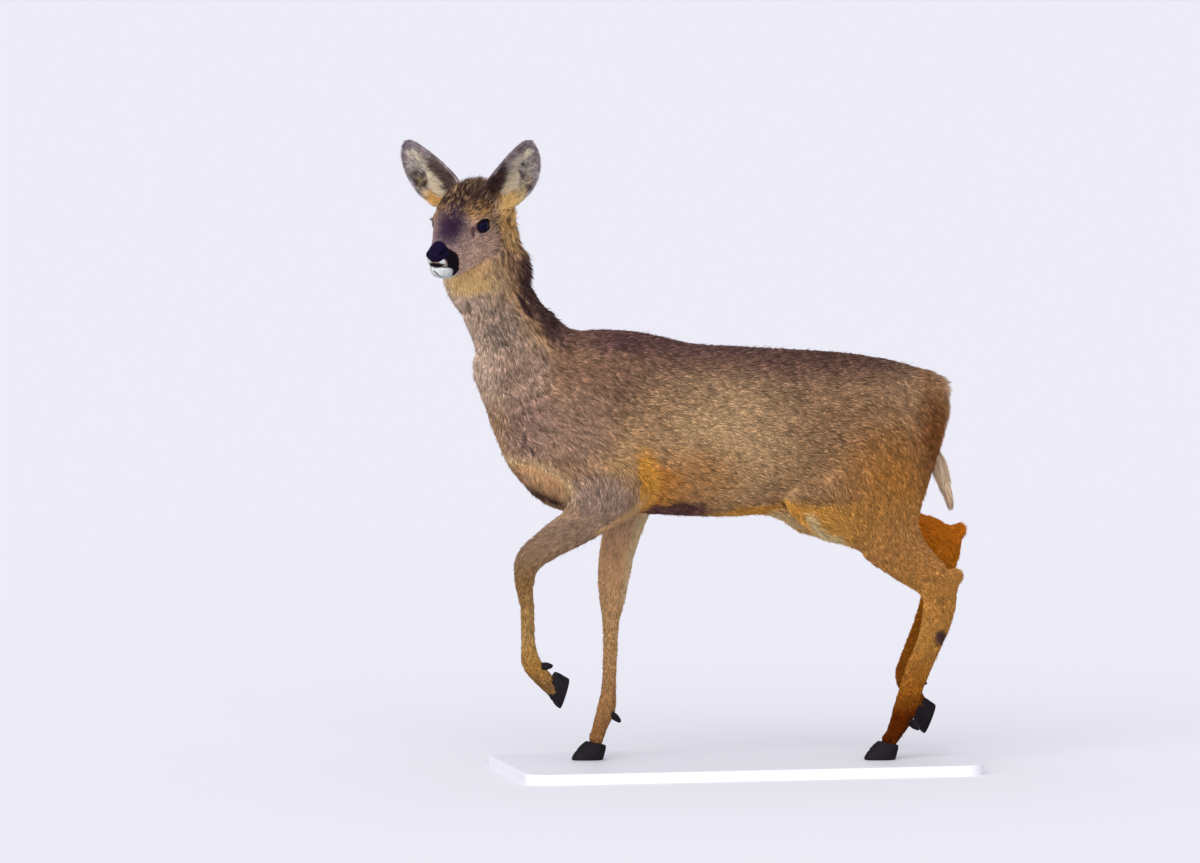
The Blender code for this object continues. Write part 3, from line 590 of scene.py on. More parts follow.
def lid_rim(side):
    """A ring on the eyeball: its line runs round the almond at the ball's own radius, and its section is
    an oval that lies flat on the ball."""
    centre, axes = eye_frame(side)
    turn = np.linspace(0, 2 * np.pi, LID_TURNS, endpoint=False)
    wide = LID_WIDE * np.where(np.cos(turn) > 0, LID_CORNER, 1.0)
    high = np.where(np.sin(turn) > 0, LID_ABOVE, LID_BELOW)
    power = 2 / LID_POWER
    flat = np.stack([
        wide * np.sign(np.cos(turn)) * np.abs(np.cos(turn)) ** power,
        high * np.sign(np.sin(turn)) * np.abs(np.sin(turn)) ** power,
    ], 1)
    flat = (flat + np.roll(flat, 1, 0) + np.roll(flat, -1, 0)) / 3 * 0.97
    reach = EYE_RADIUS + 0.5
    out = np.sqrt(np.maximum(reach**2 - (flat**2).sum(1), 4.0))
    line = np.column_stack([flat, out])
    away = unit(line)
    along = unit(np.roll(line, -1, 0) - np.roll(line, 1, 0))
    aside = np.cross(along, away)
    round_it = np.linspace(0, 2 * np.pi, LID_AROUND, endpoint=False)[None, :, None]
    rings = line[:, None] + aside[:, None] * RIM_HALF_WIDE * np.cos(round_it)
    rings = rings + away[:, None] * RIM_HALF_THICK * np.sin(round_it)
    points = rings.reshape(-1, 3) @ axes + centre
    k, i = np.meshgrid(np.arange(LID_TURNS), np.arange(LID_AROUND), indexing="ij")
    a, b = k * LID_AROUND + i, k * LID_AROUND + (i + 1) % LID_AROUND
    c, d = (b + LID_AROUND) % len(points), (a + LID_AROUND) % len(points)
    faces = np.vstack([np.stack([a, b, c], -1).reshape(-1, 3), np.stack([a, c, d], -1).reshape(-1, 3)])
    return points, facing_out(points, faces)


# ---------------------------------------------------------------- the colours of the coat
# Winter coat: grey-brown, darker along the back and nape, ochre behind the elbows and on the limbs,
# with a dark blaze on the nose, a white chin and a yellowish throat. Each marking is a soft oval in
# the animal's or the head's frame, and skin and hair read the same markings.
PARTS = ("trunk", "neck", "foreleg", "hindleg", "head")
TRUNK_ON, NECK_ON, HEAD_ON = (PARTS.index(part) for part in ("trunk", "neck", "head"))


def mottle(points, size, seed):
    """Smooth noise from 0 to 1: random numbers at the corners of a grid, blended between them by a
    cubic ease."""
    table = np.random.default_rng(seed).random(4096)
    place = points / size
    cell = np.floor(place).astype(np.int64)
    ease = place - cell
    ease = ease * ease * (3 - 2 * ease)
    found = np.zeros(len(points))
    for corner in np.ndindex(2, 2, 2):
        c = cell + np.array(corner)
        index = ((c[:, 0] * 73856093) ^ (c[:, 1] * 19349663) ^ (c[:, 2] * 83492791)) & 4095
        found += np.where(corner, ease, 1 - ease).prod(1) * table[index]
    return found


def flecks(points, fine, coarse, seed):
    """Two sizes of mottle added up, from -2 to 2."""
    return (mottle(points, fine, seed) + mottle(points, coarse, seed + 1) - 1.0) * 2


def oval(points, centre, radii, soft):
    """1 inside an oval and 0 outside it, with a soft edge."""
    ratio = np.linalg.norm((points - np.array(centre)) / np.array(radii), axis=1)
    return 1 - step(1 - soft, 1 + soft, ratio)


def tinted(colour, mask, to):
    """The colour drawn towards another by the mask."""
    return colour + mask[:, None] * (np.array(to) - colour)


def marked(colour, places, marks):
    """The colour with each oval of a table, place, size, softness and colour, laid over it in turn."""
    for centre, radii, soft, to in marks:
        colour = tinted(colour, oval(places, centre, radii, soft), to)
    return colour


def held(colours, most=0.92):
    """The colours, each scaled down where its brightest channel is over the most, so that its hue stays."""
    return colours * np.minimum(1, most / np.maximum(colours.max(-1, keepdims=True), 1e-6))


def ramp(values, rows):
    """A colour read from rows of value and colour, straight between them."""
    rows = sorted(rows)
    columns = np.array([colour for _, colour in rows], float).T
    return np.stack([np.interp(values, [at for at, _ in rows], column) for column in columns], 1)


def size_at(rows, values):
    """A size read from rows of value and size, straight between them."""
    return np.interp(values, *np.array(rows, float).T)


TRUNK_ROWS, NECK_ROWS = np.array(TRUNK, float), np.array(NECK, float)[::-1]


def above_trunk_line(x, z):
    """How far a place is above the trunk's middle line."""
    return z - np.interp(x, TRUNK_ROWS[:, 0], TRUNK_ROWS[:, 2])


def behind_neck_line(x, z):
    """How far a place is behind the neck's middle line."""
    return x - np.interp(z, NECK_ROWS[:, 2], NECK_ROWS[:, 0])


# The trunk's tones by height as a share of its half depth, and the neck's from throat to nape.
TRUNK_TONES = [
    (-1.04, (0.44, 0.22, 0.055)), (-0.95, (0.26, 0.14, 0.06)), (-0.8, (0.31, 0.175, 0.09)),
    (-0.45, (0.36, 0.213, 0.105)), (-0.1, (0.325, 0.195, 0.108)), (0.3, (0.29, 0.173, 0.102)),
    (0.55, (0.24, 0.142, 0.088)), (0.75, (0.18, 0.098, 0.07)), (0.88, (0.125, 0.065, 0.054)),
    (1.0, (0.10, 0.052, 0.048)),
]
LEAST_DEPTH = 112  # the chest and rump taper, but their tones lie as if the trunk were at least this deep
NECK_TONES = [
    (-1.0, (0.50, 0.355, 0.285)), (-0.3, (0.34, 0.235, 0.18)), (0.25, (0.36, 0.23, 0.145)),
    (0.45, (0.35, 0.205, 0.112)), (0.68, (0.14, 0.075, 0.052)), (0.82, (0.055, 0.029, 0.026)),
]


def body_base(x, z):
    """The trunk's tones, easing into the neck's above and ahead of the shoulder."""
    deep = np.maximum(np.interp(x, TRUNK_ROWS[:, 0], TRUNK_ROWS[:, 3]), LEAST_DEPTH)
    trunk = ramp(above_trunk_line(x, z) / deep, TRUNK_TONES)
    neck = ramp(behind_neck_line(x, z) / np.interp(z, NECK_ROWS[:, 2], NECK_ROWS[:, 3]), NECK_TONES)
    on_neck = step(560, 640, z + 60 * step(-240, -285, x)) * step(-190, -235, x)
    return trunk + on_neck[:, None] * (neck - trunk)


# Each limb's tones by height, for its coat's part and its side: -1 is towards the left. The right limbs' tones are
# partly their own and partly painted light, made lighter against the shade that the belly casts on them.
LIMB_TONES = {
    ("foreleg", -1): [(400, (0.28, 0.19, 0.155)), (310, (0.28, 0.165, 0.10)), (276, (0.28, 0.145, 0.06)),
                      (188, (0.40, 0.235, 0.09)), (150, (0.39, 0.20, 0.055)), (118, (0.24, 0.12, 0.045))],
    ("foreleg", 1): [(400, (0.56, 0.35, 0.25)), (300, (0.52, 0.30, 0.17)), (200, (0.46, 0.27, 0.13)),
                     (110, (0.38, 0.20, 0.09)), (40, (0.26, 0.12, 0.045))],
    ("hindleg", -1): [(420, (0.31, 0.15, 0.05)), (300, (0.375, 0.175, 0.055)), (250, (0.38, 0.175, 0.045)),
                      (180, (0.355, 0.17, 0.043)), (104, (0.26, 0.09, 0.010)), (66, (0.095, 0.016, 0.0005)),
                      (30, (0.07, 0.013, 0.0005))],
    ("hindleg", 1): [(430, (0.46, 0.19, 0.03)), (340, (0.50, 0.15, 0.010)), (284, (0.36, 0.115, 0.008)),
                     (212, (0.23, 0.073, 0.006)), (90, (0.17, 0.05, 0.005)), (60, (0.10, 0.025, 0.003))],
}
LIMB_LIGHT = {"foreleg": 0.85, "hindleg": 1.0}


def limb_tones(colour, points, shares):
    """The colour drawn towards each limb's own tones, by how much of the limb a place belongs to."""
    for (part, side), tones in LIMB_TONES.items():
        limb = ramp(points[:, 2], tones) * LIMB_LIGHT[part]
        share = shares[:, PARTS.index(part)] * step(0, 12, points[:, 1] * side) * step(430, 350, points[:, 2])
        colour = colour + share[:, None] * (limb - colour)
    return colour


# Ovals on the body, as place, size, softness and colour. They run right across it from side to side.
BODY_MARKS = [
    ((-160, 0, 585), (70, 300, 50), 0.6, (0.22, 0.122, 0.08)),  # withers
    ((-205, 0, 500), (60, 300, 60), 0.6, (0.30, 0.18, 0.127)),  # shoulder
    ((-266, 0, 515), (34, 300, 70), 0.5, (0.27, 0.165, 0.13)),  # point of the chest
    ((-300, 0, 648), (26, 300, 34), 0.8, (0.26, 0.18, 0.145)),  # front of the neck
    # The foot of the neck is partly painted light: its own tone made lighter against the shade where it faces
    # down.
    ((-272, 0, 590), (36, 300, 42), 0.5, (0.34, 0.22, 0.17)),  # foot of the neck
    ((-168, 0, 398), (48, 300, 36), 0.5, (0.31, 0.208, 0.165)),  # upper arm
    # The creases of the chest are painted shade: dark lines where the folds lie in shade.
    ((-271, 0, 481), (3, 300, 15), 0.5, (0.09, 0.055, 0.05)),  # creases of the chest
    ((-261, 0, 467), (2.5, 300, 10), 0.5, (0.10, 0.06, 0.05)),
    ((-116, 0, 632), (46, 300, 18), 0.7, (0.105, 0.053, 0.05)),  # dark hair over the withers
    ((250, 0, 606), (110, 300, 28), 0.9, (0.105, 0.055, 0.043)),  # croup
    ((36, 0, 488), (76, 300, 66), 0.9, (0.42, 0.27, 0.155)),  # middle of the flank
    ((-20, 0, 430), (60, 300, 40), 0.8, (0.37, 0.19, 0.08)),  # flank behind the elbow
    ((-45, 0, 377), (58, 300, 17), 0.4, (0.085, 0.038, 0.035)),  # belly
    ((112, 0, 372), (72, 300, 15), 0.4, (0.54, 0.26, 0.055)),  # belly before the groin
    ((240, 0, 480), (90, 300, 70), 0.95, (0.245, 0.135, 0.075)),  # haunch
    ((282, 0, 420), (62, 300, 64), 0.95, (0.34, 0.148, 0.036)),  # thigh
    ((354, 0, 480), (30, 300, 80), 0.8, (0.18, 0.068, 0.022)),  # back of the rump
]
FLANK_ORANGE, FLANK_GOLD = (0.42, 0.175, 0.038), (0.70, 0.34, 0.065)
FLANK_GOLD_OVAL = (-94, 0, 424), (20, 300, 44), 0.4
# The back of the rump, as heights and places along: the cream patch lies behind it, with a bright edge.
RUMP_REAR = [(440, 362), (489, 375), (513, 383), (537, 389), (561, 388)]
RUMP_PATCH = (0, 0, 492), (1, 46, 58), 0.25
RUMP_CREAM, RUMP_EDGE = (0.60, 0.46, 0.33), (0.56, 0.36, 0.22)
FOLD_CREAM, BREAST_TAN, KEEL_DARK = (0.80, 0.56, 0.33), (0.52, 0.30, 0.165), (0.08, 0.04, 0.035)
BREAST_KEEL = [(-290, 442), (-264, 415), (-238, 401), (-205, 388)]
GROIN_OVAL = (146, 0, 356), (50, 300, 26), 0.3
GROIN_LINE = [(158, 368), (176, 346), (214, 324), (262, 300)]
GROIN_CREAM, GROIN_EDGE = (0.84, 0.56, 0.30), (0.62, 0.48, 0.28)


def trunk_marks(colour, points, place):
    """The ovals of the body, the gold behind the elbow, the rump's patch, the breast under its fold and
    the pale groin. place is points with their outlines wandering."""
    x, y, z = place.T
    flat = place * (1, 0, 1)
    colour = marked(colour, flat, BODY_MARKS)
    edge = step(-107, -101, x)
    behind = edge * step(-4, -76, x) * step(384, 392, z) * step(474, 452, z + 0.5 * (x + 100))
    colour = tinted(colour, 0.9 * behind, FLANK_ORANGE)
    colour = tinted(colour, edge * oval(flat, *FLANK_GOLD_OVAL), FLANK_GOLD)
    behind = x - size_at(RUMP_REAR, z)
    colour = tinted(colour, 0.9 * oval(place * (0, 1, 1), *RUMP_PATCH) * step(-30, -22, behind), RUMP_CREAM)
    colour = tinted(colour, 0.7 * step(-5, -2, behind) * step(458, 470, z) * (z < 570), RUMP_EDGE)
    forth, _, height = points.T
    below = step(1, -3, height - size_at(BREAST_FOLD[:5], forth)) * step(-203, -209, forth)
    colour = tinted(colour, below, BREAST_TAN)
    colour = tinted(colour, 0.95 * along_line(forth, height, BREAST_FOLD, 5.0), FOLD_CREAM)
    colour = tinted(colour, below * along_line(forth, height, BREAST_KEEL, 7.0), KEEL_DARK)
    colour = tinted(colour, step(100, 108, x) * oval(flat, *GROIN_OVAL) * (np.abs(y) < 60), GROIN_CREAM)
    return tinted(colour, 0.85 * along_line(x, z, GROIN_LINE, 5.5), GROIN_EDGE)


# Marks laid over the limbs: a painted highlight along the lower back edge of the left arm, the pale back of the
# right foreleg, the dark stroke on the neck where the nape's hair parts, and the dark glands on the outer side of
# each hind cannon.
ARM_HIGHLIGHT_LINE, ARM_HIGHLIGHT = [(-94, 400), (-119, 376), (-167, 350)], (0.62, 0.37, 0.17)
FORELEG_REAR, FORELEG_CREAM = [(170, -121), (240, -118), (320, -108), (420, -84)], (0.56, 0.43, 0.26)
NECK_STROKE, STROKE_DARK = [(-280, 702, 1.5), (-269, 688, 4.5), (-259, 671, 3.5)], (0.035, 0.018, 0.018)
CANNON_GLANDS = [
    ((361, -54, 182), (10, 16, 13), 0.35, (0.07, 0.032, 0.028)),
    ((390, 53, 222), (10, 16, 13), 0.35, (0.07, 0.032, 0.028)),
]


def limb_marks(colour, points, place):
    """Those marks, each on its own side of the animal."""
    x, y, z = place.T
    # A painted highlight along the left arm's lower back edge.
    colour = tinted(colour, 0.8 * along_line(x, z, ARM_HIGHLIGHT_LINE, 5.0) * (y < 0), ARM_HIGHLIGHT)
    rear = step(6, 20, x - size_at(FORELEG_REAR, z)) * (y > 10) * step(160, 230, z) * (z < 420) * (x < -50)
    colour = tinted(colour, 0.7 * rear, FORELEG_CREAM)
    colour = tinted(colour, step(1.5, -1, from_line(x, z, NECK_STROKE)) * (y < 0), STROKE_DARK)
    return marked(colour, points, CANNON_GLANDS)


FACE_GREY = (0.36, 0.235, 0.20)
WHITE = (0.58, 0.57, 0.58)
# Ovals on the head, forward, left and up from its middle, the same on both sides.
HEAD_MARKS = [
    ((-66, 0, 26), (32, 42, 40), 0.6, (0.17, 0.10, 0.065)),  # back of the head
    ((-2, 34, -36), (32, 20, 24), 0.6, (0.44, 0.285, 0.225)),  # cheek
    ((-20, 40, 4), (20, 18, 22), 0.6, (0.30, 0.185, 0.125)),  # behind the eye
    ((-4, 0, 42), (52, 42, 28), 0.4, (0.23, 0.135, 0.08)),  # crown
    ((-4, 0, 42), (48, 29, 26), 0.5, (0.034, 0.016, 0.017)),  # its dark middle
    ((-2, 36, 24), (30, 14, 15), 0.6, (0.50, 0.285, 0.125)),  # over the eye
    ((-80, 44, -30), (28, 30, 46), 0.45, (0.56, 0.335, 0.14)),  # behind the cheek
    ((-64, 46, 8), (18, 22, 20), 0.5, (0.52, 0.31, 0.13)),  # under the ear
    ((60, 0, -4), (26, 22, 20), 0.6, (0.24, 0.16, 0.165)),  # bridge of the nose
    ((40, 0, 16), (30, 22, 26), 0.7, (0.12, 0.07, 0.09)),  # blaze
    ((10, 0, -78), (60, 44, 17), 0.7, (0.54, 0.34, 0.175)),  # under the jaw
    ((24, 0, -101), (50, 60, 17), 0.4, (0.62, 0.425, 0.215)),  # throat
    ((80, 0, -47), (26, 26, 17), 0.2, WHITE),  # chin
    ((86, 10.5, -24.5), (7, 4, 4.5), 0.3, WHITE),  # upper lip
    ((22, 35, 1), (7, 9, 4.5), 0.5, (0.10, 0.045, 0.055)),  # gland in front of the eye
    ((24.5, 34, -5), (4, 9, 6), 0.6, (0.13, 0.07, 0.075)),
]
LEATHER_BLACK = (0.008, 0.005, 0.009)
EYE_BLACK = (0.010, 0.006, 0.009)
# Ovals that differ from side to side: the core of the blaze, the lip under the nose, and its white spots.
UNEVEN_MARKS = [
    ((38, 9, 12), (34, 18, 29), 0.6, (0.032, 0.015, 0.033)),
    ((87, 0, -29.5), (13, 13, 4.2), 0.15, LEATHER_BLACK),
    ((84, -19, -27), (8, 6, 5.5), 0.35, WHITE), ((86, 10.5, -25), (7, 3.4, 4), 0.35, WHITE),
]
# The black band from the nostril past the corner of the mouth: places forward and up, and its half width.
MOUTH_BAND = [(82, -8, 8), (77, -19, 10), (70, -31, 12), (63, -41, 11.5), (67, -48, 7)]
# A dark streak in the chin's white hair: places to the left and up, and its half width.
CHIN_STREAK, STREAK_GREY = [(-4, -39.5, 1.2), (-1, -44, 1.4), (2.8, -48.7, 0.9)], (0.09, 0.06, 0.085)


def either_side(points):
    """Places on the head as from_head gives them, with its right side folded onto its left."""
    place = from_head(points)
    place[:, 1] = np.abs(place[:, 1])
    return place


def head_marks(colour, points, wander, on_head):
    """The face's grey, the ovals of the head, the black band and lips, and the bare rims of the eyes."""
    place, exact = either_side(points + 4 * wander), from_head(points)
    forth, aside, up = place.T
    colour = tinted(colour, step(-50, -18, forth) * step(-78, -60, up), FACE_GREY)
    colour = marked(colour, place, HEAD_MARKS)
    band = step(1.2, -1.2, from_line(forth, up, MOUTH_BAND)) * step(6, 9, aside) * on_head
    colour = marked(tinted(colour, band, LEATHER_BLACK), exact, UNEVEN_MARKS)
    streak = step(1.2, -0.6, from_line(exact[:, 1], exact[:, 2], CHIN_STREAK))
    colour = tinted(colour, 0.9 * streak * step(76, 80, exact[:, 0]) * on_head, STREAK_GREY)
    lips = np.exp(-(((up - mouth_height(forth)) / 1.4) ** 2)) * step(62, 68, forth) * on_head
    colour = tinted(colour, lips, LEATHER_BLACK)
    for side in SIDES:
        centre, axes = eye_frame(side)
        local = (points - centre) @ axes.T
        ring = step(1.75, 1.35, almond(local[:, 0], local[:, 1])) * (local[:, 2] > 0) * on_head
        colour = tinted(colour, ring * step(19, 15.5, forth), EYE_BLACK)
    return colour


# Hair shades its own roots, so its own colour is this much lighter than the coat looks.
COAT_GAIN = np.array([1.73, 1.81, 1.72])


def coat_colour(points, shares):
    """The colour of the coat at each point, where shares says how much of each part of the body it
    belongs to. The outlines of the markings wander a few millimetres."""
    wander = np.stack([mottle(points, 14.0, seed) for seed in (1, 2, 3)], 1) - 0.5
    place = points + 9 * wander
    colour = trunk_marks(body_base(place[:, 0], place[:, 2]), points, place)
    colour = limb_marks(limb_tones(colour, points, shares), points, place)
    colour = head_marks(colour, points, wander, shares[:, HEAD_ON])
    grain = 0.18 + 0.26 * shares[:, NECK_ON] + 0.14 * shares[:, TRUNK_ON]
    broad = mottle(points, 42.0, 23) - 0.5
    return held(COAT_GAIN * colour * (1 + grain * flecks(points, 3.2, 6.5, 21) + 0.05 * broad)[:, None])


# Ovals in each ear's hollow, as share of the length and step across, size, softness and colour. The two
# ears hold their hair differently.
EAR_MARKS = {
    1: [
        ((0.68, 0.15, 0), (0.16, 0.6, 1), 0.5, (0.27, 0.225, 0.21)),
        ((0.50, 0.60, 0), (0.10, 0.30, 1), 0.5, (0.26, 0.20, 0.155)),
        ((0.51, 0.15, 0), (0.055, 0.30, 1), 0.5, (0.07, 0.05, 0.055)),
        ((0.64, 0.1, 0), (0.03, 0.12, 1), 0.6, (0.09, 0.07, 0.075)),
        ((0.46, 0.90, 0), (0.06, 0.2, 1), 0.5, (0.05, 0.035, 0.035)),
        ((0.36, 0.85, 0), (0.07, 0.35, 1), 0.5, (0.34, 0.25, 0.15)),
        ((0.14, 0.5, 0), (0.16, 0.9, 1), 0.4, (0.52, 0.33, 0.14)),
    ],
    -1: [
        ((0.72, 0.2, 0), (0.14, 0.6, 1), 0.5, (0.27, 0.225, 0.21)),
        ((0.55, 0.62, 0), (0.07, 0.35, 1), 0.5, (0.30, 0.21, 0.13)),
        ((0.67, 0.68, 0), (0.035, 0.28, 1), 0.6, (0.08, 0.055, 0.055)),
        ((0.59, 0.36, 0), (0.035, 0.25, 1), 0.6, (0.07, 0.05, 0.05)),
        ((0.60, 0.92, 0), (0.05, 0.2, 1), 0.6, (0.05, 0.035, 0.035)),
        ((0.52, 0.64, 0), (0.03, 0.16, 1), 0.6, (0.05, 0.035, 0.035)),
        ((0.38, 0.85, 0), (0.09, 0.4, 1), 0.5, (0.46, 0.33, 0.21)),
        ((0.27, 0.62, 0), (0.12, 0.45, 1), 0.5, (0.46, 0.25, 0.08)),
        ((0.10, 0.6, 0), (0.10, 0.8, 1), 0.5, (0.32, 0.17, 0.055)),
    ],
}
# The cream hair and the painted shade in the hollow each run along a line: the share of the length times the
# stretch, the step across, and half width.
LINE_STRETCH = 2.2
CREAM_LINE = {
    1: [
        (0.55, -0.2, 0.28), (0.72, 0.0, 0.36), (0.84, 0.0, 0.28), (1.0, -0.25, 0.24), (1.15, -0.4, 0.22),
        (1.32, -0.42, 0.20), (1.54, -0.2, 0.15), (1.76, 0.05, 0.13), (1.98, 0.3, 0.10),
    ],
    -1: [
        (0.72, 0.3, 0.26), (0.84, 0.25, 0.28), (1.0, 0.2, 0.25), (1.2, 0.0, 0.22), (1.36, -0.1, 0.20),
        (1.54, -0.15, 0.19), (1.83, 0.12, 0.14), (2.0, 0.42, 0.10),
    ],
}
SHADE_DARK = {1: (0.045, 0.022, 0.022), -1: (0.095, 0.06, 0.052)}
SHADE_LINE = {
    1: [(0.1, -0.6, 0.3), (0.44, -0.75, 0.34), (0.66, -0.8, 0.30), (0.88, -0.95, 0.22), (1.1, -1.05, 0.15)],
    -1: [
        (0.1, -0.3, 0.5), (0.55, -0.35, 0.46), (0.77, -0.48, 0.42), (1.0, -0.64, 0.36), (1.2, -0.86, 0.20),
        (1.4, -1.0, 0.1),
    ],
}
HOLLOW_GREY, RIM_GREY, ROOT_TAN = (0.20, 0.155, 0.165), (0.20, 0.16, 0.185), (0.44, 0.24, 0.08)
CREAM_TONES = [(0.25, (0.92, 0.74, 0.57)), (0.5, (0.66, 0.54, 0.44)), (0.85, (0.44, 0.37, 0.32))]
BACK_TONES = [
    (-1, (0.075, 0.042, 0.042)), (-0.2, (0.13, 0.085, 0.075)), (0.4, (0.21, 0.15, 0.13)), (1, (0.27, 0.21, 0.19)),
]


def ear_colour(side, points, shares, steps, inside):
    """The ear's colours by the share of its length, the step across from its inner edge at -1 to its outer
    edge at 1, and whether the place is in the hollow."""
    s, t = shares, steps + 0.10 * (mottle(points, 9.0, 31) - 0.5)
    hollow = np.tile(HOLLOW_GREY, (len(points), 1))
    hollow = marked(hollow, np.column_stack([s, t, np.zeros_like(s)]), EAR_MARKS[side])
    on_cream = step(0.10, -0.04, from_line(LINE_STRETCH * s, t, CREAM_LINE[side]))
    hollow = hollow + on_cream[:, None] * (ramp(s, CREAM_TONES) - hollow)
    # Painted shade along the inner side of the cupped hollow.
    in_shade = step(0.12, -0.04, from_line(LINE_STRETCH * s, t, SHADE_LINE[side]))
    hollow = tinted(hollow, in_shade, SHADE_DARK[side])
    rim = np.maximum(step(0.86, 0.98, np.abs(t)), step(0.86, 0.94, s)) * step(0.30, 0.45, s)
    hollow = tinted(hollow, rim, RIM_GREY)
    back = tinted(ramp(t, BACK_TONES), step(0.30, 0.05, s) * step(-0.4, 0.3, t), ROOT_TAN)
    colour = np.where(inside[:, None], hollow, back)
    return held(COAT_GAIN * colour * (1 + 0.30 * flecks(points, 2.6, 6.0, 33))[:, None])


# ---------------------------------------------------------------- the skin
# One closed hide over head, ears, neck, trunk and limbs, thin and soft over the flesh. It stands for all
# the flesh, and the hair grows from it.
HIDE_SHADE = 0.5, 0.4  # the hide is darker than its hair, and more so where the hair is dark
EAR_HIDE_SHADE = 0.65
HAIR_REACH, NO_HAIR = 40.0, 60.0  # how far from a form its hair counts, and a distance where it doesn't
RIM_BLACK = (0.006, 0.004, 0.006)


def mesh_piece(name, points, faces, **point_values):
    """A mesh object at the origin from points in the animal's frame and triangles; point_values are
    colours, one for each point."""
    mesh = bpy.data.meshes.new(name)
    mesh.vertices.add(len(points))
    mesh.vertices.foreach_set("co", in_room(points).astype(np.float32).ravel())
    mesh.loops.add(faces.size)
    mesh.loops.foreach_set("vertex_index", faces.astype(np.int32).ravel())
    mesh.polygons.add(len(faces))
    mesh.polygons.foreach_set("loop_start", np.arange(0, faces.size, faces.shape[1], dtype=np.int32))
    mesh.polygons.foreach_set("use_smooth", np.ones(len(faces), bool))
    mesh.update()
    for key, colours in point_values.items():
        layer = mesh.color_attributes.new(key, "FLOAT_COLOR", "POINT")
        opaque = np.column_stack([colours, np.ones(len(colours))])
        layer.data.foreach_set("color", opaque.astype(np.float32).ravel())
    piece = bpy.data.objects.new(name, mesh)
    bpy.context.scene.collection.objects.link(piece)
    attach(piece, "root")
    return piece


def point_normals(points, faces):
    """The normal at each point: the sum of its triangles' cross products, made one long."""
    a, b, c = points[faces[:, 0]], points[faces[:, 1]], points[faces[:, 2]]
    cross = np.cross(b - a, c - a)
    found = np.zeros_like(points)
    for k in range(3):
        for axis in range(3):
            found[:, axis] += np.bincount(faces[:, k], cross[:, axis], len(points))
    return unit(found)


def measured_coat(points):
    """At each point of the skin, from the forms near it: the way the hair lies, its length, width and
    lift, and the share of each part. A form counts less by e for every 6 mm that it lies farther."""
    distances = np.full((len(forms), len(points)), NO_HAIR, np.float32)
    links = np.zeros((len(forms), len(points)), np.int16)
    for number, form in enumerate(forms):
        low, high = form.box(HAIR_REACH)
        near = ((points > low) & (points < high)).all(1)
        if near.any():
            distances[number, near], links[number, near] = form.measure(points[near])
    weights = np.exp(-(distances - distances.min(0)) / 6.0)
    weights /= weights.sum(0)
    lie, hair, shares = (np.zeros((len(points), width)) for width in (3, 3, len(PARTS)))
    for form, weight, link in zip(forms, weights, links):
        lie += weight[:, None] * form.lie[link]
        hair += weight[:, None] * np.array(form.hair)
        shares[:, PARTS.index(form.part)] += weight
    return lie, hair, shares


skin_lie, skin_hair, skin_shares = measured_coat(skin_points)
skin_normals = point_normals(skin_points, skin_faces)
skin_colour = coat_colour(skin_points, skin_shares)
# The short hair of the face is shortest at the nose, and that of the limbs towards the feet.
FACE_LENGTHS = [(-70, 1.9), (-20, 1.35), (20, 0.85), (60, 0.6), (90, 0.45)]
CROWN_LENGTHS, LIMB_LENGTHS = [(14, 1.0), (34, 1.5)], [(40, 0.65), (330, 1.15)]
forth, _, up = from_head(skin_points).T
face_length = size_at(FACE_LENGTHS, forth) * size_at(CROWN_LENGTHS, up)
skin_hair[:, 0] *= 1 + skin_shares[:, HEAD_ON] * (face_length - 1)
on_limb = skin_shares[:, PARTS.index("foreleg")] + skin_shares[:, PARTS.index("hindleg")]
skin_hair[:, 0] *= 1 + on_limb * (size_at(LIMB_LENGTHS, skin_points[:, 2]) - 1)

shaded = skin_colour * (HIDE_SHADE[0] + HIDE_SHADE[1] * skin_colour.mean(1, keepdims=True))
hide = [(skin_points, skin_faces, shaded)]
ears = {}
for side in SIDES:
    points, faces = ear_shells[side]
    s = np.append(np.repeat(ear_shares, 2 * EAR_STEPS), [0.0, 1.0])
    t = np.append(np.tile(np.concatenate([ear_steps, ear_steps[::-1]]), EAR_RINGS), [0.0, 0.0])
    inside = np.append(np.tile(np.arange(2 * EAR_STEPS) < EAR_STEPS, EAR_RINGS), [True, True])
    ears[side] = {"s": s, "t": t, "inside": inside, "normals": point_normals(points, faces)}
    hide.append((points, faces, ear_colour(side, points, s, t, inside) * EAR_HIDE_SHADE))
    points, faces = lid_rim(side)
    hide.append((points, faces, np.tile(RIM_BLACK, (len(points), 1))))
starts = np.cumsum([0] + [len(points) for points, _, _ in hide])
skin = mesh_piece(
    "skin", np.vstack([points for points, _, _ in hide]),
    np.vstack([faces + start for (_, faces, _), start in zip(hide, starts)]),
    hide=np.vstack([colours for _, _, colours in hide]),
)


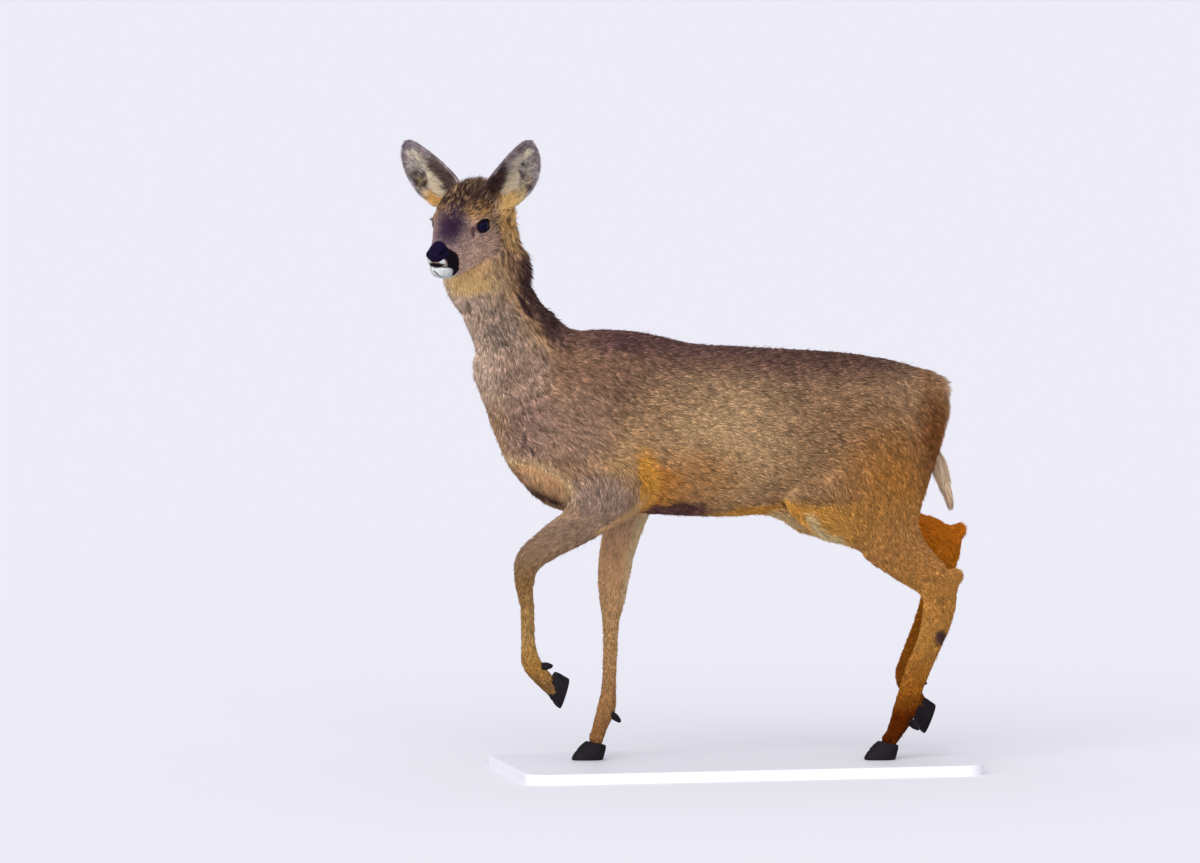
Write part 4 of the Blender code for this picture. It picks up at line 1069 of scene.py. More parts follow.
class Finish:
    """A material and the sockets of its one shader. painted names the colour attribute that it shows, if
    any, and its textures read Object coordinates."""

    def __init__(self, name, roughness, specular=0.5, painted=None):
        self.material = bpy.data.materials.new(name)
        self.material.use_nodes = True
        self.tree = self.material.node_tree
        self.sockets = self.tree.nodes["Principled BSDF"].inputs
        self.sockets["Roughness"].default_value = roughness
        self.sockets["Specular IOR Level"].default_value = specular
        if painted:
            self.link(self.node("ShaderNodeAttribute", attribute_name=painted).outputs["Color"], "Base Color")

    def link(self, output, socket):
        """Joins an output to a socket, or to the shader's socket of that name."""
        self.tree.links.new(output, self.sockets[socket] if isinstance(socket, str) else socket)

    def node(self, kind, **values):
        """A new node, each of whose values goes to the socket of that name, or else to its setting."""
        made = self.tree.nodes.new(kind)
        for key, value in values.items():
            if key in made.inputs:
                made.inputs[key].default_value = value
            else:
                setattr(made, key, value)
        return made

    def texture(self, kind, stretch=None, **values):
        """A texture on Object coordinates, scaled along each axis by stretch."""
        made, place = self.node(kind, **values), self.node("ShaderNodeTexCoord").outputs["Object"]
        if stretch:
            mapping = self.node("ShaderNodeMapping", Scale=stretch)
            self.link(place, mapping.inputs["Vector"])
            place = mapping.outputs["Vector"]
        self.link(place, made.inputs["Vector"])
        return made

    def between(self, height, low, high):
        """Mixes two colours by a texture."""
        mix = self.node("ShaderNodeMix", data_type="RGBA")
        mix.inputs["A"].default_value, mix.inputs["B"].default_value = (*low, 1), (*high, 1)
        self.link(height, mix.inputs["Factor"])
        self.link(mix.outputs["Result"], "Base Color")

    def bumped(self, height, strength, distance):
        """Raises the surface by a texture."""
        bump = self.node("ShaderNodeBump", Strength=strength, Distance=distance)
        self.link(height, bump.inputs["Height"])
        self.link(bump.outputs["Normal"], "Normal")


def pelt(name, attribute, grain, roughness):
    """Hair or hide: its own painted colour, broken by fine noise, with the same noise as bump."""
    finish = Finish(name, roughness, 0.05)
    noise = finish.texture("ShaderNodeTexNoise", Scale=grain, Detail=3.0, Roughness=0.6).outputs["Fac"]
    span = finish.node("ShaderNodeMapRange")
    span.inputs["To Min"].default_value, span.inputs["To Max"].default_value = 0.78, 1.22
    finish.link(noise, span.inputs["Value"])
    mix = finish.node("ShaderNodeVectorMath", operation="SCALE")
    finish.link(finish.node("ShaderNodeAttribute", attribute_name=attribute).outputs["Color"], mix.inputs[0])
    finish.link(span.outputs["Result"], mix.inputs["Scale"])
    finish.link(mix.outputs["Vector"], "Base Color")
    finish.bumped(noise, 0.5, 0.0006)
    return finish.material


skin.data.materials.append(pelt("hide", "hide", 700.0, 0.9))
FLESH = [
    "head", "muzzle", "lower_jaw", "ear_left", "ear_right", "neck_upper", "neck_lower", "chest", "ribs",
    "loin", "rump",
]
for word in SIDES.values():
    FLESH += [f"{bone}_{word}" for bone in ("shoulder", "forearm", "knee_fore", "cannon_fore", "pastern_fore")]
    FLESH += [f"{bone}_{word}" for bone in ("thigh", "gaskin_hind", "hock_hind", "cannon_hind", "pastern_hind")]
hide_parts(*FLESH)

# ---------------------------------------------------------------- the coat
# Tufts of winter hair, each a thin closed spike that grows from the skin and lies along the body. A
# tuft's base is sunk in the skin, and its root is darker than its tip.
EYE_BARE = 1.42  # no hair within this share of the almond
LIP_BARE = 1.3
NOSE_PLACE, NOSE_SIZE, NOSE_MARGIN = np.array([81.0, 0.0, -14.5]), np.array([12.5, 16.0, 13.5]), 0.6


def bare(points):
    """Where no hair grows: on the lids, on the nose leather and in the line between the lips."""
    place = from_head(points)
    none = np.linalg.norm((place - NOSE_PLACE) / (NOSE_SIZE + NOSE_MARGIN), axis=1) < 1
    forth, aside, up = place.T
    none |= (np.abs(up - mouth_height(forth)) < LIP_BARE) & (forth > 50) & (forth < 110) & (np.abs(aside) < 40)
    for side in SIDES:
        centre, axes = eye_frame(side)
        local = (points - centre) @ axes.T
        lids = (almond(local[:, 0], local[:, 1]) < EYE_BARE) & (np.linalg.norm(local, axis=1) < 25)
        none |= lids & (local[:, 2] > 0)
    return none


def face_areas(points, faces):
    """The area of each triangle."""
    a, b, c = points[faces[:, 0]], points[faces[:, 1]], points[faces[:, 2]]
    return 0.5 * np.linalg.norm(np.cross(b - a, c - a), axis=1)


def sown(points, faces, weights, count, random):
    """count places spread evenly over the triangles in proportion to area times weight: each one's triangle
    and its shares of the three corners. Steps of equal weight along the list keep the places apart."""
    reached = np.cumsum(face_areas(points, faces) * weights)
    chosen = np.searchsorted(reached, (np.arange(count) + random.random(count)) / count * reached[-1])
    chosen = np.minimum(chosen, len(faces) - 1)
    root, other = np.sqrt(random.random(count)), random.random(count)
    return chosen, np.column_stack([1 - root, root * (1 - other), root * other])


def at_roots(values, faces, corners):
    """What the values of a surface's points come to at each root, from its triangle's three corners."""
    return (values[faces] * corners.reshape(corners.shape + (1,) * (values.ndim - 1))).sum(1)


def turned(directions, normals, angles):
    """Each direction laid flat on its surface and turned about the normal by its angle."""
    flat = unit(directions - normals * (directions * normals).sum(1, keepdims=True))
    return flat * np.cos(angles)[:, None] + np.cross(normals, flat) * np.sin(angles)[:, None]


# Corners of a tuft's patch on the OFBake map, about its root's place: two at the base, the ridge, the tip.
PATCH = np.array([(-0.0015, -0.0015), (0.0015, -0.0015), (0.0, -0.0004), (0.0, 0.0015)])
SPIKE_FACES = np.array([(0, 2, 3), (2, 1, 3), (1, 0, 3), (0, 1, 2)])


def spikes(roots, normals, flats, lengths, widths, lifts):
    """Points and triangles of straight tufts: a three-cornered base with a low ridge, run out to one tip
    that stands off the skin by the sine of the lift."""
    aside = np.cross(normals, flats)
    half, sunk = (0.5 * widths)[:, None], (0.45 * widths)[:, None]
    tips = roots + lengths[:, None] * (np.cos(lifts)[:, None] * flats + np.sin(lifts)[:, None] * normals)
    corners = np.stack([
        roots + half * aside - sunk * normals,
        roots - half * aside - sunk * normals,
        roots + 0.5 * half * normals - 0.6 * half * flats,
        tips,
    ], 1)
    faces = SPIKE_FACES[None] + 4 * np.arange(len(roots))[:, None, None]
    return corners.reshape(-1, 3), faces.reshape(-1, 3)


def coat_piece(name, points, faces, colours, places, patch=PATCH):
    """A coat object with its colours, and its OFBake map: each tuft's corners round its root's own place."""
    piece = mesh_piece(name, points, faces, hair=colours)
    layer = piece.data.uv_layers.new(name="OFBake")
    corner = (places[:, None, :] + patch[None]).reshape(-1, 2)
    layer.data.foreach_set("uv", corner[faces.ravel()].astype(np.float32).ravel())
    piece.data.materials.append(HAIR)
    return piece


def round_axis(along, across, away):
    """An unwrap of a limb or trunk: the angle round its line, and the way along it."""
    return np.column_stack([np.arctan2(across, away) / (2 * np.pi) + 0.5, along])


def tile(places, column, columns):
    """Squeezes a 0 to 1 map into one of several upright strips, with a margin round it."""
    return np.column_stack([(column + 0.03 + 0.94 * places[:, 0]) / columns, 0.02 + 0.96 * places[:, 1]])


LEGS = {"foreleg": (LEFT_FORELEG, RIGHT_FORELEG), "hindleg": (LEFT_HIND_LEG, RIGHT_HIND_LEG)}


def unwrap(part, points):
    """Each root's place on the map of its part: round the trunk, the neck, the head or the leg's own line."""
    x, y, z = points.T
    if part == "trunk":
        return tile(round_axis((x + 300) / 700, y / 95, above_trunk_line(x, z) / 130), 0, 1)
    if part == "neck":
        return tile(round_axis((z - 520) / 330, y / 50, behind_neck_line(x, z) / 65), 0, 1)
    if part == "head":
        forth, aside, up = from_head(points).T
        return tile(round_axis((forth + 115) / 220, aside, up + 18), 0, 1)
    places = np.zeros((len(points), 2))
    for column, (rows, mine) in enumerate(zip(LEGS[part], (y < 0, y >= 0))):
        rows = np.array(rows, float)[::-1]
        ahead = x[mine] - np.interp(z[mine], rows[:, 2], rows[:, 0])
        beside = y[mine] - np.interp(z[mine], rows[:, 2], rows[:, 1])
        places[mine] = tile(round_axis(np.clip(z[mine] / 480, 0, 1), beside, ahead), column, 2)
    return places


HAIR = pelt("winter_hair", "hair", 900.0, 0.85)
# The coat's pieces: the part that each grows on, where along the animal it starts and ends, and how many
# tufts lie over each place.
COAT_PIECES = [
    ("coat_chest", "trunk", -400, -165, 3.0), ("coat_shoulders", "trunk", -165, -50, 3.0),
    ("coat_barrel", "trunk", -50, 80, 3.0), ("coat_loin", "trunk", 80, 205, 3.0),
    ("coat_rump", "trunk", 205, 500, 3.0), ("coat_neck", "neck", -500, 0, 3.4),
    ("coat_head", "head", -600, 0, 3.2), ("coat_forelegs", "foreleg", -400, 100, 2.6),
    ("coat_hindlegs", "hindleg", 100, 500, 2.6),
]
MOST_TUFTS = 49000
face_part = skin_shares[skin_faces].mean(1).argmax(1)
face_at = skin_points[skin_faces].mean(1)
face_hair = skin_hair[skin_faces].mean(1)
bald = bare(face_at)
# Hair hangs together in locks. How wide a lock is on each part, and how much its shade differs.
LOCK_SIZE = {"trunk": 3.1, "neck": 3.6, "head": 3.0, "foreleg": 4.0, "hindleg": 4.0}
LOCK_SHADE = {"trunk": 0.68, "neck": 0.9, "head": 0.55, "foreleg": 0.35, "hindleg": 0.35}
# Locks of another colour, as place, size, share of the locks and colour.
LOCK_MARKS = [
    ((-250, 0, 735), (34, 70, 90), 0.55, (0.045, 0.022, 0.022)),  # nape
]
HEAD_LOCK_MARKS = [
    ((-30, 0, 40), (54, 48, 32), 0.75, (0.032, 0.016, 0.016)),  # crown
    ((-12, 0, 42), (56, 40, 28), 0.36, (0.29, 0.17, 0.095)),  # brow
    ((-8, 34, 30), (34, 18, 20), 0.42, (0.035, 0.018, 0.018)),  # temple
    ((-2, 36, -34), (44, 26, 32), 0.16, (0.17, 0.105, 0.09)),  # cheek
    ((-58, 42, -30), (44, 30, 66), 0.32, (0.075, 0.042, 0.03)),  # behind the cheek
    ((-10, 36, 22), (30, 16, 20), 0.25, (0.06, 0.03, 0.026)),  # over and behind the eye
]
# Where the coat stands out: place, size, how much longer the hair is, and how many degrees more it lifts.
RUFFS = [
    ((-256, 0, 768), (24, 70, 46), 0.5, 10),  # nape
    ((-222, 0, 674), (30, 70, 26), 0.3, 6),  # foot of the nape
    ((-262, -36, 688), (12, 30, 18), 0.2, 8),  # side of the neck
    ((370, 0, 505), (26, 300, 85), 0.0, 6),  # back of the rump
    ((-312, 0, 600), (16, 60, 26), 0.2, 8),  # point of the chest
    ((360, 0, 572), (34, 60, 14), 0.1, 5),  # root of the tail
]
HEAD_RUFFS = [
    ((-66, 44, -24), (26, 26, 50), 0.2, 5),  # behind the cheek
    ((-40, 0, 50), (34, 30, 16), 0.2, 6),  # between the ears
]
FOLD_LIFT = 16
# A tuft's shades at the two corners of its base, its ridge and its tip. The face's short hair is less dark at its
# roots. On the throat under the jaw the roots are barely darker and the flecks are drawn towards light: painted
# light against the jaw's shade.
TUFT_SHADES, HEAD_LIGHT = np.array([0.55, 0.55, 0.78, 1.18]), np.array([0.2, 0.2, 0.15, 0.0])
THROAT_LIT_SHADES, THROAT_LIT_OVAL = np.array([1.0, 1.0, 1.1, 1.15]), ((24, 0, -98), (54, 64, 24), 0.5)


def locks(roots, size, seed):
    """Which lock each tuft belongs to: the cells of a grid of this size whose lines wander."""
    wander = np.stack([mottle(roots, 1.7 * size, seed + k) for k in range(3)], 1)
    cells = np.floor(roots / size + 1.4 * wander).astype(int)
    return np.unique(cells, axis=0, return_inverse=True)[1].ravel()


def shared(values, lock):
    """The mean of the values over each lock, given back to each tuft."""
    sums = np.stack([np.bincount(lock, column) for column in values.T], 1) / np.bincount(lock)[:, None]
    return sums[lock]


def gathered(roots, normals, flats, lengths, lock, pull):
    """The lengths and ways of tufts whose tips draw towards the middle of their lock by a share pull."""
    apart = roots - shared(roots, lock)
    apart -= 0.6 * flats * (apart * flats).sum(1, keepdims=True)
    drawn = lengths[:, None] * flats - pull[:, None] * apart
    return np.linalg.norm(drawn, axis=1), turned(drawn, normals, np.zeros(len(roots)))


def ruffled(roots, place):
    """How much longer the hair is at each root, and how many degrees more it lifts."""
    longer, higher = np.zeros(len(roots)), np.zeros(len(roots))
    for at, table in ((roots, RUFFS), (place, HEAD_RUFFS)):
        for centre, radii, more, degrees in table:
            inside = oval(at, centre, radii, 0.5)
            longer += more * inside
            higher += degrees * inside
    fold = along_line(roots[:, 0], roots[:, 2], BREAST_FOLD, 5.0) * (np.abs(roots[:, 1]) > 14)
    return longer, higher + FOLD_LIFT * fold


def grow(number, name, part, first, last, cover):
    """One piece of the coat. Each lock's luck sets how its hair lifts and its shade, and bold whether it
    takes another colour. Some tufts stray, and some are flecked darker or lighter."""
    random = np.random.default_rng(100 + number)
    mine = (face_part == PARTS.index(part)) & (face_at[:, 0] >= first) & (face_at[:, 0] < last) & ~bald
    faces, footprint = skin_faces[mine], 0.5 * face_hair[mine, 0] * face_hair[mine, 1]
    wanted = cover * (face_areas(skin_points, faces) / footprint).sum()
    count = int(min(wanted, MOST_TUFTS))
    chosen, corners = sown(skin_points, faces, 1 / footprint, count, random)
    on_skin = skin_points, skin_normals, skin_lie, skin_hair, skin_shares
    roots, normals, lie, hair, shares = (at_roots(values, faces[chosen], corners) for values in on_skin)
    normals, place = unit(normals), either_side(roots)
    hair[:, 1] *= np.sqrt(wanted / count)

    longer, higher = ruffled(roots, place)
    lock = locks(roots, LOCK_SIZE[part], 60 + 5 * number)
    luck, bold = (random.random(lock.max() + 1)[lock] for _ in range(2))
    standing = step(0.35, 0.75, luck)
    swirl = np.radians(26) * (mottle(roots, 26.0, 51) - 0.5) + np.radians(8) * random.standard_normal(count)
    flats = turned(lie + (0, 0, -0.02), normals, swirl)
    lengths = hair[:, 0] * (0.8 + 0.4 * random.random(count)) * (1 + longer * standing)
    lengths, flats = gathered(roots, normals, flats, lengths, lock, np.minimum(0.5 + longer, 0.85))
    stray = 16 * (random.random(count) < 0.03)
    degrees = hair[:, 2] * (0.45 + 1.1 * luck) + higher * 1.5 * standing + stray
    degrees = degrees + 2.5 * random.standard_normal(count)
    widths = hair[:, 1] * (0.8 + 0.4 * random.random(count)) * (1 + 0.5 * longer)
    points, faces = spikes(roots, normals, flats, lengths, widths, np.radians(degrees))

    tone = coat_colour(roots + 0.7 * lengths[:, None] * flats, shares)
    for at, table in ((roots, LOCK_MARKS), (place, HEAD_LOCK_MARKS)):
        for centre, radii, share, to in table:
            mask = oval(at, centre, radii, 0.4) * (bold < share) * (0.6 + 0.4 * luck)
            tone = tinted(tone, mask, COAT_GAIN * to)
    fleck = random.random(count)
    pepper = 0.30 + 0.40 * shares[:, NECK_ON] + 0.25 * shares[:, TRUNK_ON]
    shade = 1 + 0.16 * random.standard_normal(count)
    shade = shade - 0.6 * pepper * (fleck < 0.18) + 0.65 * pepper * (fleck > 0.84)
    shade *= 1 + LOCK_SHADE[part] * (luck - 0.5)
    # Painted light on the throat: its hair is lighter and its flecks evened out where the jaw's shade falls.
    pale = oval(place, *THROAT_LIT_OVAL)
    shade += (1.08 - shade) * 0.75 * pale
    shades = TUFT_SHADES + HEAD_LIGHT * (part == "head")
    shades = shades + pale[:, None] * (THROAT_LIT_SHADES - shades)
    colours = tone[:, None, :] * (shades * np.clip(shade, 0.28, 2.0)[:, None])[..., None]
    coat_piece(name, points, faces, held(colours, 0.95).reshape(-1, 3), unwrap(part, roots))


for number, row in enumerate(COAT_PIECES):
    grow(number, *row)

# The ears: short close hair on the back and rims, and long soft hair that fans out from the hollow.
EAR_TUFTS, EAR_TUFT_WIDTH, EAR_LOCK_SIZE = 15000, 0.95, 3.2
EAR_LENGTHS = [(0, 1.5), (0.3, 1.1), (1, 0.8)]
EAR_SHADES = np.array([0.6, 0.6, 0.85, 1.2])
INNER_FAN = (0.42, -0.55, 0), (0.36, 0.32, 1), 0.4
ROOT_FAN = (0.2, 0.3, 0), (0.2, 0.6, 1), 0.5
for side, word in SIDES.items():
    random, count, ear = np.random.default_rng(200 + side), EAR_TUFTS, ears[side]
    _, span, _, across = ear_frame(side)
    ear_points, faces = ear_shells[side]
    s, inside = (ear[key][faces].mean(1) for key in ("s", "inside"))
    weights = np.where(inside > 0.5, 1.0, 1.2) * (s > 0.02)
    chosen, corners = sown(ear_points, faces, weights, count, random)
    on_ear = ear_points, ear["normals"], ear["s"], ear["t"], ear["inside"].astype(float)
    roots, normals, s, t, inside = (at_roots(values, faces[chosen], corners) for values in on_ear)
    normals, inside = unit(normals), inside > 0.5
    swirl = np.radians(40) * (mottle(roots, 12.0, 61) - 0.5) + np.radians(9) * random.standard_normal(count)
    place = np.column_stack([s, t, np.zeros_like(s)])
    long = inside * np.maximum(oval(place, *INNER_FAN), 0.7 * oval(place, *ROOT_FAN))
    long *= random.random(count) < 0.6
    flats = turned(unit(span) + across * (0.5 * t + 1.1 * long)[:, None], normals, swirl)
    lengths = np.where(inside, 6.5, 5.0) * (0.75 + 0.5 * random.random(count)) * size_at(EAR_LENGTHS, s)
    lengths *= 1 + 1.6 * long
    widths = EAR_TUFT_WIDTH * (0.8 + 0.4 * random.random(count))
    lifts = np.radians(np.where(inside, 14, 9) + 12 * long + 3 * random.standard_normal(count))
    points, faces = spikes(roots, normals, flats, lengths, widths, lifts)
    tone = ear_colour(side, roots + 0.6 * lengths[:, None] * flats, s, t, inside)
    lock = locks(roots, EAR_LOCK_SIZE, 80)
    shade = 1 + 0.2 * random.standard_normal(count) + 0.9 * (random.random(lock.max() + 1)[lock] - 0.5)
    colours = tone[:, None] * EAR_SHADES[None, :, None] * np.clip(shade, 0.4, 1.6)[:, None, None]
    places = tile(np.column_stack([0.5 + 0.48 * t, s]), np.where(inside, 0, 1), 2)
    coat_piece("coat_ear_" + word, points, faces, held(colours, 0.95).reshape(-1, 3), places)

# ---------------------------------------------------------------- the eyes
# A wet ball with a bulging clear front. The iris is a very dark brown ring round a wide lying pupil. Ball, iris
# and pupil carry a blue cast, a painted reflection of the pale sky.
BULGE, BULGE_DEGREES = 0.9, 48
BALL_BLACK_AND_SHEEN, IRIS_BROWN_AND_SHEEN, PUPIL_BLACK_AND_SHEEN = (0.004, 0.002, 0.012), (0.006, 0.004, 0.018), (0.002, 0.002, 0.010)
PUPIL_LONG, PUPIL_HIGH = 5.6, 3.2


def eyeball(side):
    """Rings round the way the eye looks: a sphere whose front, within so many degrees, bulges."""
    centre, axes = eye_frame(side)
    tilt = np.linspace(0.02, 0.98, 48)[:, None] * np.pi
    turn = np.linspace(0, 2 * np.pi, 64, endpoint=False)[None, :]
    reach = EYE_RADIUS + BULGE * np.clip(1 - (np.degrees(tilt) / BULGE_DEGREES) ** 2, 0, 1) ** 1.5
    out, front = reach * np.sin(tilt), reach * np.cos(tilt)
    points, faces = closed_tube(np.stack([out * np.cos(turn), out * np.sin(turn), front + 0 * turn], -1))
    flat = points[:, :2] * (points[:, 2:] > 0) + 99 * (points[:, 2:] <= 0)
    pupil = step(1.15, 0.85, np.hypot(flat[:, 0] / PUPIL_LONG, flat[:, 1] / PUPIL_HIGH))
    iris = step(10.2, 9.2, np.hypot(flat[:, 0], flat[:, 1]))
    streaks = 0.75 + 0.5 * np.random.default_rng(5).random(len(points))
    colour = np.tile(BALL_BLACK_AND_SHEEN, (len(points), 1))
    colour = colour + iris[:, None] * (IRIS_BROWN_AND_SHEEN * streaks[:, None] - colour)
    points = points @ axes + centre
    return points, facing_out(points, faces), tinted(colour, pupil, PUPIL_BLACK_AND_SHEEN)


wet = Finish("wet_eye", 0.08, 0.08, painted="eye")
wet.sockets["IOR"].default_value = 1.33
for side, word in SIDES.items():
    points, faces, colour = eyeball(side)
    eye = mesh_piece("eyeball_" + word, points, faces, eye=colour)
    eye.data.materials.append(wet.material)
    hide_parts("eye_" + word)

# Upper lashes: a close row of stiff curved hairs on the rim of the upper lid, longest over its middle.
LASHES, LASH_WIDTH, LASH_BLACK = 34, 0.6, (0.012, 0.009, 0.009)
STRAND_SIDES = 3


def strands(lines, widths):
    """Points and triangles of thin closed hairs: each line of places gets three-sided rings that narrow
    to a tip. lines holds one row of places for each hair."""
    count, rings = lines.shape[:2]
    along = unit(np.gradient(lines, axis=1))
    aside = unit(np.cross(along, (0.31, 0.17, 0.93)))
    other = np.cross(along, aside)
    turn = np.linspace(0, 2 * np.pi, STRAND_SIDES, endpoint=False)
    narrow = np.append(np.linspace(1, 0.55, rings - 1), 0.0)
    radius = 0.5 * widths[:, None, None, None] * narrow[None, :, None, None]
    cosine, sine = np.cos(turn)[None, None, :, None], np.sin(turn)[None, None, :, None]
    ring = (aside[:, :, None] * cosine + other[:, :, None] * sine) * radius
    around = (lines[:, :, None] + ring)[:, :-1].reshape(count, -1, 3)
    points = np.concatenate([around, lines[:, -1:]], 1)
    body = (rings - 1) * STRAND_SIDES
    faces = []
    for k in range(rings - 2):
        for i in range(STRAND_SIDES):
            a, b = k * STRAND_SIDES + i, k * STRAND_SIDES + (i + 1) % STRAND_SIDES
            faces += [(a, b, b + STRAND_SIDES), (a, b + STRAND_SIDES, a + STRAND_SIDES)]
    last = body - STRAND_SIDES
    faces += [(last + i, last + (i + 1) % STRAND_SIDES, body) for i in range(STRAND_SIDES)]
    faces.append((2, 1, 0))
    faces = np.array(faces)[None] + (body + 1) * np.arange(count)[:, None, None]
    return points.reshape(-1, 3), faces.reshape(-1, 3)


lash_lines = []
for side in SIDES:
    centre, axes = eye_frame(side)
    random = np.random.default_rng(300 + side)
    turn = np.linspace(0.12, 0.90, LASHES) * np.pi
    flat = np.stack([LID_WIDE * 1.05 * np.cos(turn), LID_ABOVE * np.sin(turn) ** 0.9], 1)
    start = np.column_stack([flat, np.sqrt(np.maximum((EYE_RADIUS + 1.2) ** 2 - (flat**2).sum(1), 4))])
    reach = (3.5 + 3 * np.sin(turn)) * (0.8 + 0.4 * random.random(LASHES))
    share = np.linspace(0, 1, 4)[None, :, None]
    out = np.column_stack([0.35 * np.cos(turn), 0.30 + 0 * turn, 0.9 + 0 * turn])
    out = unit(out + 0.12 * random.standard_normal((LASHES, 3)))
    sag = np.array([0, -0.25, 0]) * share * (1 - share) * 2
    lash_lines.append((start[:, None] + reach[:, None, None] * (out[:, None] * share + sag)) @ axes + centre)
points, faces = strands(np.vstack(lash_lines), np.full(2 * LASHES, LASH_WIDTH))
lashes = mesh_piece("lashes", points, faces, hair=np.tile(LASH_BLACK, (len(points), 1)))
lashes.data.materials.append(HAIR)

# ---------------------------------------------------------------- the nose leather
# The bare pad at the end of the muzzle: moist black skin of small plates, with a nostril like a comma on
# each side and a shallow groove down its middle.
# Rows of height, place forward, half depth and half width, in the head's own directions.
NOSE_ROWS = [
    (1.0, 74.5, 2, 4), (-2.5, 76.5, 7, 9), (-8, 79.5, 11.8, 13.4), (-12.5, 81, 13.3, 16.8),
    (-17, 81.8, 13.4, 17.6), (-20, 82, 13, 15.4), (-24, 82, 12, 11.2), (-28, 81.5, 9.5, 7), (-30, 81, 5, 3.5),
]
NOSTRIL_DEEP, GROOVE_DEEP = 6.0, 0.7
# The pad's black carries a blue cast, a painted reflection of the pale sky; the nostrils are plain black.
NOSE_BLACK_AND_SHEEN, NOSTRIL_BLACK = np.array([0.005, 0.002, 0.017]), np.array([0.001, 0.001, 0.002])


def squared(values):
    """Sines made squarer: their size to the power 0.8."""
    return np.sign(values) * np.abs(values) ** 0.8


def nose_pad():
    """Rings from the top down, each a squarish oval, pressed in by a bent hollow for each nostril and by a
    fine groove below. The nostrils are blacker."""
    rows = smooth_rows([row + (0,) for row in NOSE_ROWS], 6)
    turn = np.linspace(0, 2 * np.pi, 120, endpoint=False)[None, :]
    forward, sideways = squared(np.cos(turn)), squared(np.sin(turn))
    up, middle, deep, wide = (rows[:, k:k + 1] for k in range(4))
    forth, aside, up = middle + deep * forward, wide * sideways, up + 0 * turn
    across = np.abs(aside)
    bend = up + 13.0 - 1.1 * np.maximum(across - 11.5, 0)
    nostril = np.exp(-(((across - 12.5) / 4.0) ** 2) - (bend / 3.4) ** 2) * (forward > 0)
    groove = np.exp(-((aside / 0.8) ** 2)) * step(-12, -18, up) * (forward > 0)
    forth = forth - NOSTRIL_DEEP * nostril - GROOVE_DEEP * groove
    aside = aside * (1 - 0.06 * nostril)
    points, faces = closed_tube(np.stack([forth, aside, up], -1))
    points, dark = in_head(points), np.append(nostril.ravel(), [0, 0])[:, None]
    return points, facing_out(points, faces), NOSE_BLACK_AND_SHEEN + dark * (NOSTRIL_BLACK - NOSE_BLACK_AND_SHEEN)


leather = Finish("nose_leather", 0.5, 0.05, painted="nose")
plates = leather.texture("ShaderNodeTexVoronoi", feature="DISTANCE_TO_EDGE", Scale=760.0)
leather.bumped(plates.outputs["Distance"], 0.55, 0.0004)
points, faces, colour = nose_pad()
nose = mesh_piece("nose_leather_pad", points, faces, nose=colour)
nose.data.materials.append(leather.material)
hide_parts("nose")

# ---------------------------------------------------------------- the claws
# Two pointed black claws to a foot, flat on the side where they meet, and two blunt dewclaws behind the
# fetlock. Both are solid horn with faint rings of growth.
# Each foot's place on its sole, and its ways ahead and up.
FEET = {
    "fore_left": ((-210, -48, 115), (-0.276, 0, -0.961), (-0.961, 0, 0.276)),
    "fore_right": ((-152, 42, 0), (-1, 0, 0), (0, 0, 1)),
    "hind_left": ((278, -46, 0), (-1, 0, 0), (0, 0, 1)),
    "hind_right": ((374, 46, 56), (-0.35, 0, -0.937), (-0.937, 0, 0.35)),
}
# Each dewclaw's root and tip, before it is set off to its side.
DEWCLAWS = {
    "fore_left": ((-248, -49, 150), (-231, -49, 152)),
    "fore_right": ((-122, 44, 70), (-108, 44, 56)),
    "hind_left": ((316, -48, 60), (330, -48, 44)),
    "hind_right": ((350, 48, 113), (366, 48, 104)),
}
DEWCLAW_RADIUS, DEWCLAW_ASIDE = 5.0, (6.5, 8.5)
DEWCLAW_SIZES = [(0, 0.9), (0.5, 1.0), (0.85, 0.7), (1, 0.25)]
# The outline of a sole, ahead and outward, and its height, scale and shift back at each level above it.
CLAW_SOLE = [
    (30, 3.0), (24, 9.0), (10, 13.5), (-6, 14.0), (-15, 10.0), (-17, 5.0), (-12, 1.2), (8, 1.0), (24, 1.0),
]
CLAW_LEVELS = [(0, 1.0, 0.0), (9, 0.96, -3.0), (20, 0.78, -8.0), (26, 0.60, -11.0)]


def claw(origin, ahead, above, side):
    """The sole's outline as a smooth loop, carried up to the coronet; its lowest edge is rounded and the
    heel is lower than the toe."""
    loop = np.array(CLAW_SOLE + CLAW_SOLE[:1], float)
    around = smooth_rows(np.vstack([loop[-2], loop, loop[1]]), 6)[6:-7]
    levels = smooth_rows(CLAW_LEVELS, 7)
    height, scale, shift = levels.T
    rounded = 1 - 0.05 * np.clip(1 - height / 1.6, 0, 1) ** 2
    growth = 1 + 0.012 * np.sin(height * 2.6)
    forth, aside = around[None, :, 0], around[None, :, 1]
    scale, height = (scale * rounded * growth)[:, None], height[:, None]
    lean = np.where(height > 15, 1 - 0.22 * (16 - forth) / 46, 1)
    across = np.maximum(7 + (aside - 7) * scale, 0.6)
    outward = np.array([0.0, -1.0, 0.0]) * side
    origin, ahead, above = (np.array(values, float) for values in (origin, ahead, above))
    return closed_tube(
        origin + ahead * (forth * scale + shift[:, None])[..., None]
        + outward * across[..., None] + above * (height * lean)[..., None]
    )


def dewclaw(root, tip):
    """A small blunt cone along a line, with a rounded end."""
    share = 1 - (1 - np.linspace(0, 1, 12)) ** 1.6
    along = unit(tip - root)
    across = unit(np.cross(along, (1.0, 0.0, 0.3)))
    other = np.cross(along, across)
    size = DEWCLAW_RADIUS * size_at(DEWCLAW_SIZES, share)
    turn = np.linspace(0, 2 * np.pi, 20, endpoint=False)
    ring = across * np.cos(turn)[:, None] + other * np.sin(turn)[:, None]
    return closed_tube(root + (tip - root) * share[:, None, None] + ring[None] * size[:, None, None])


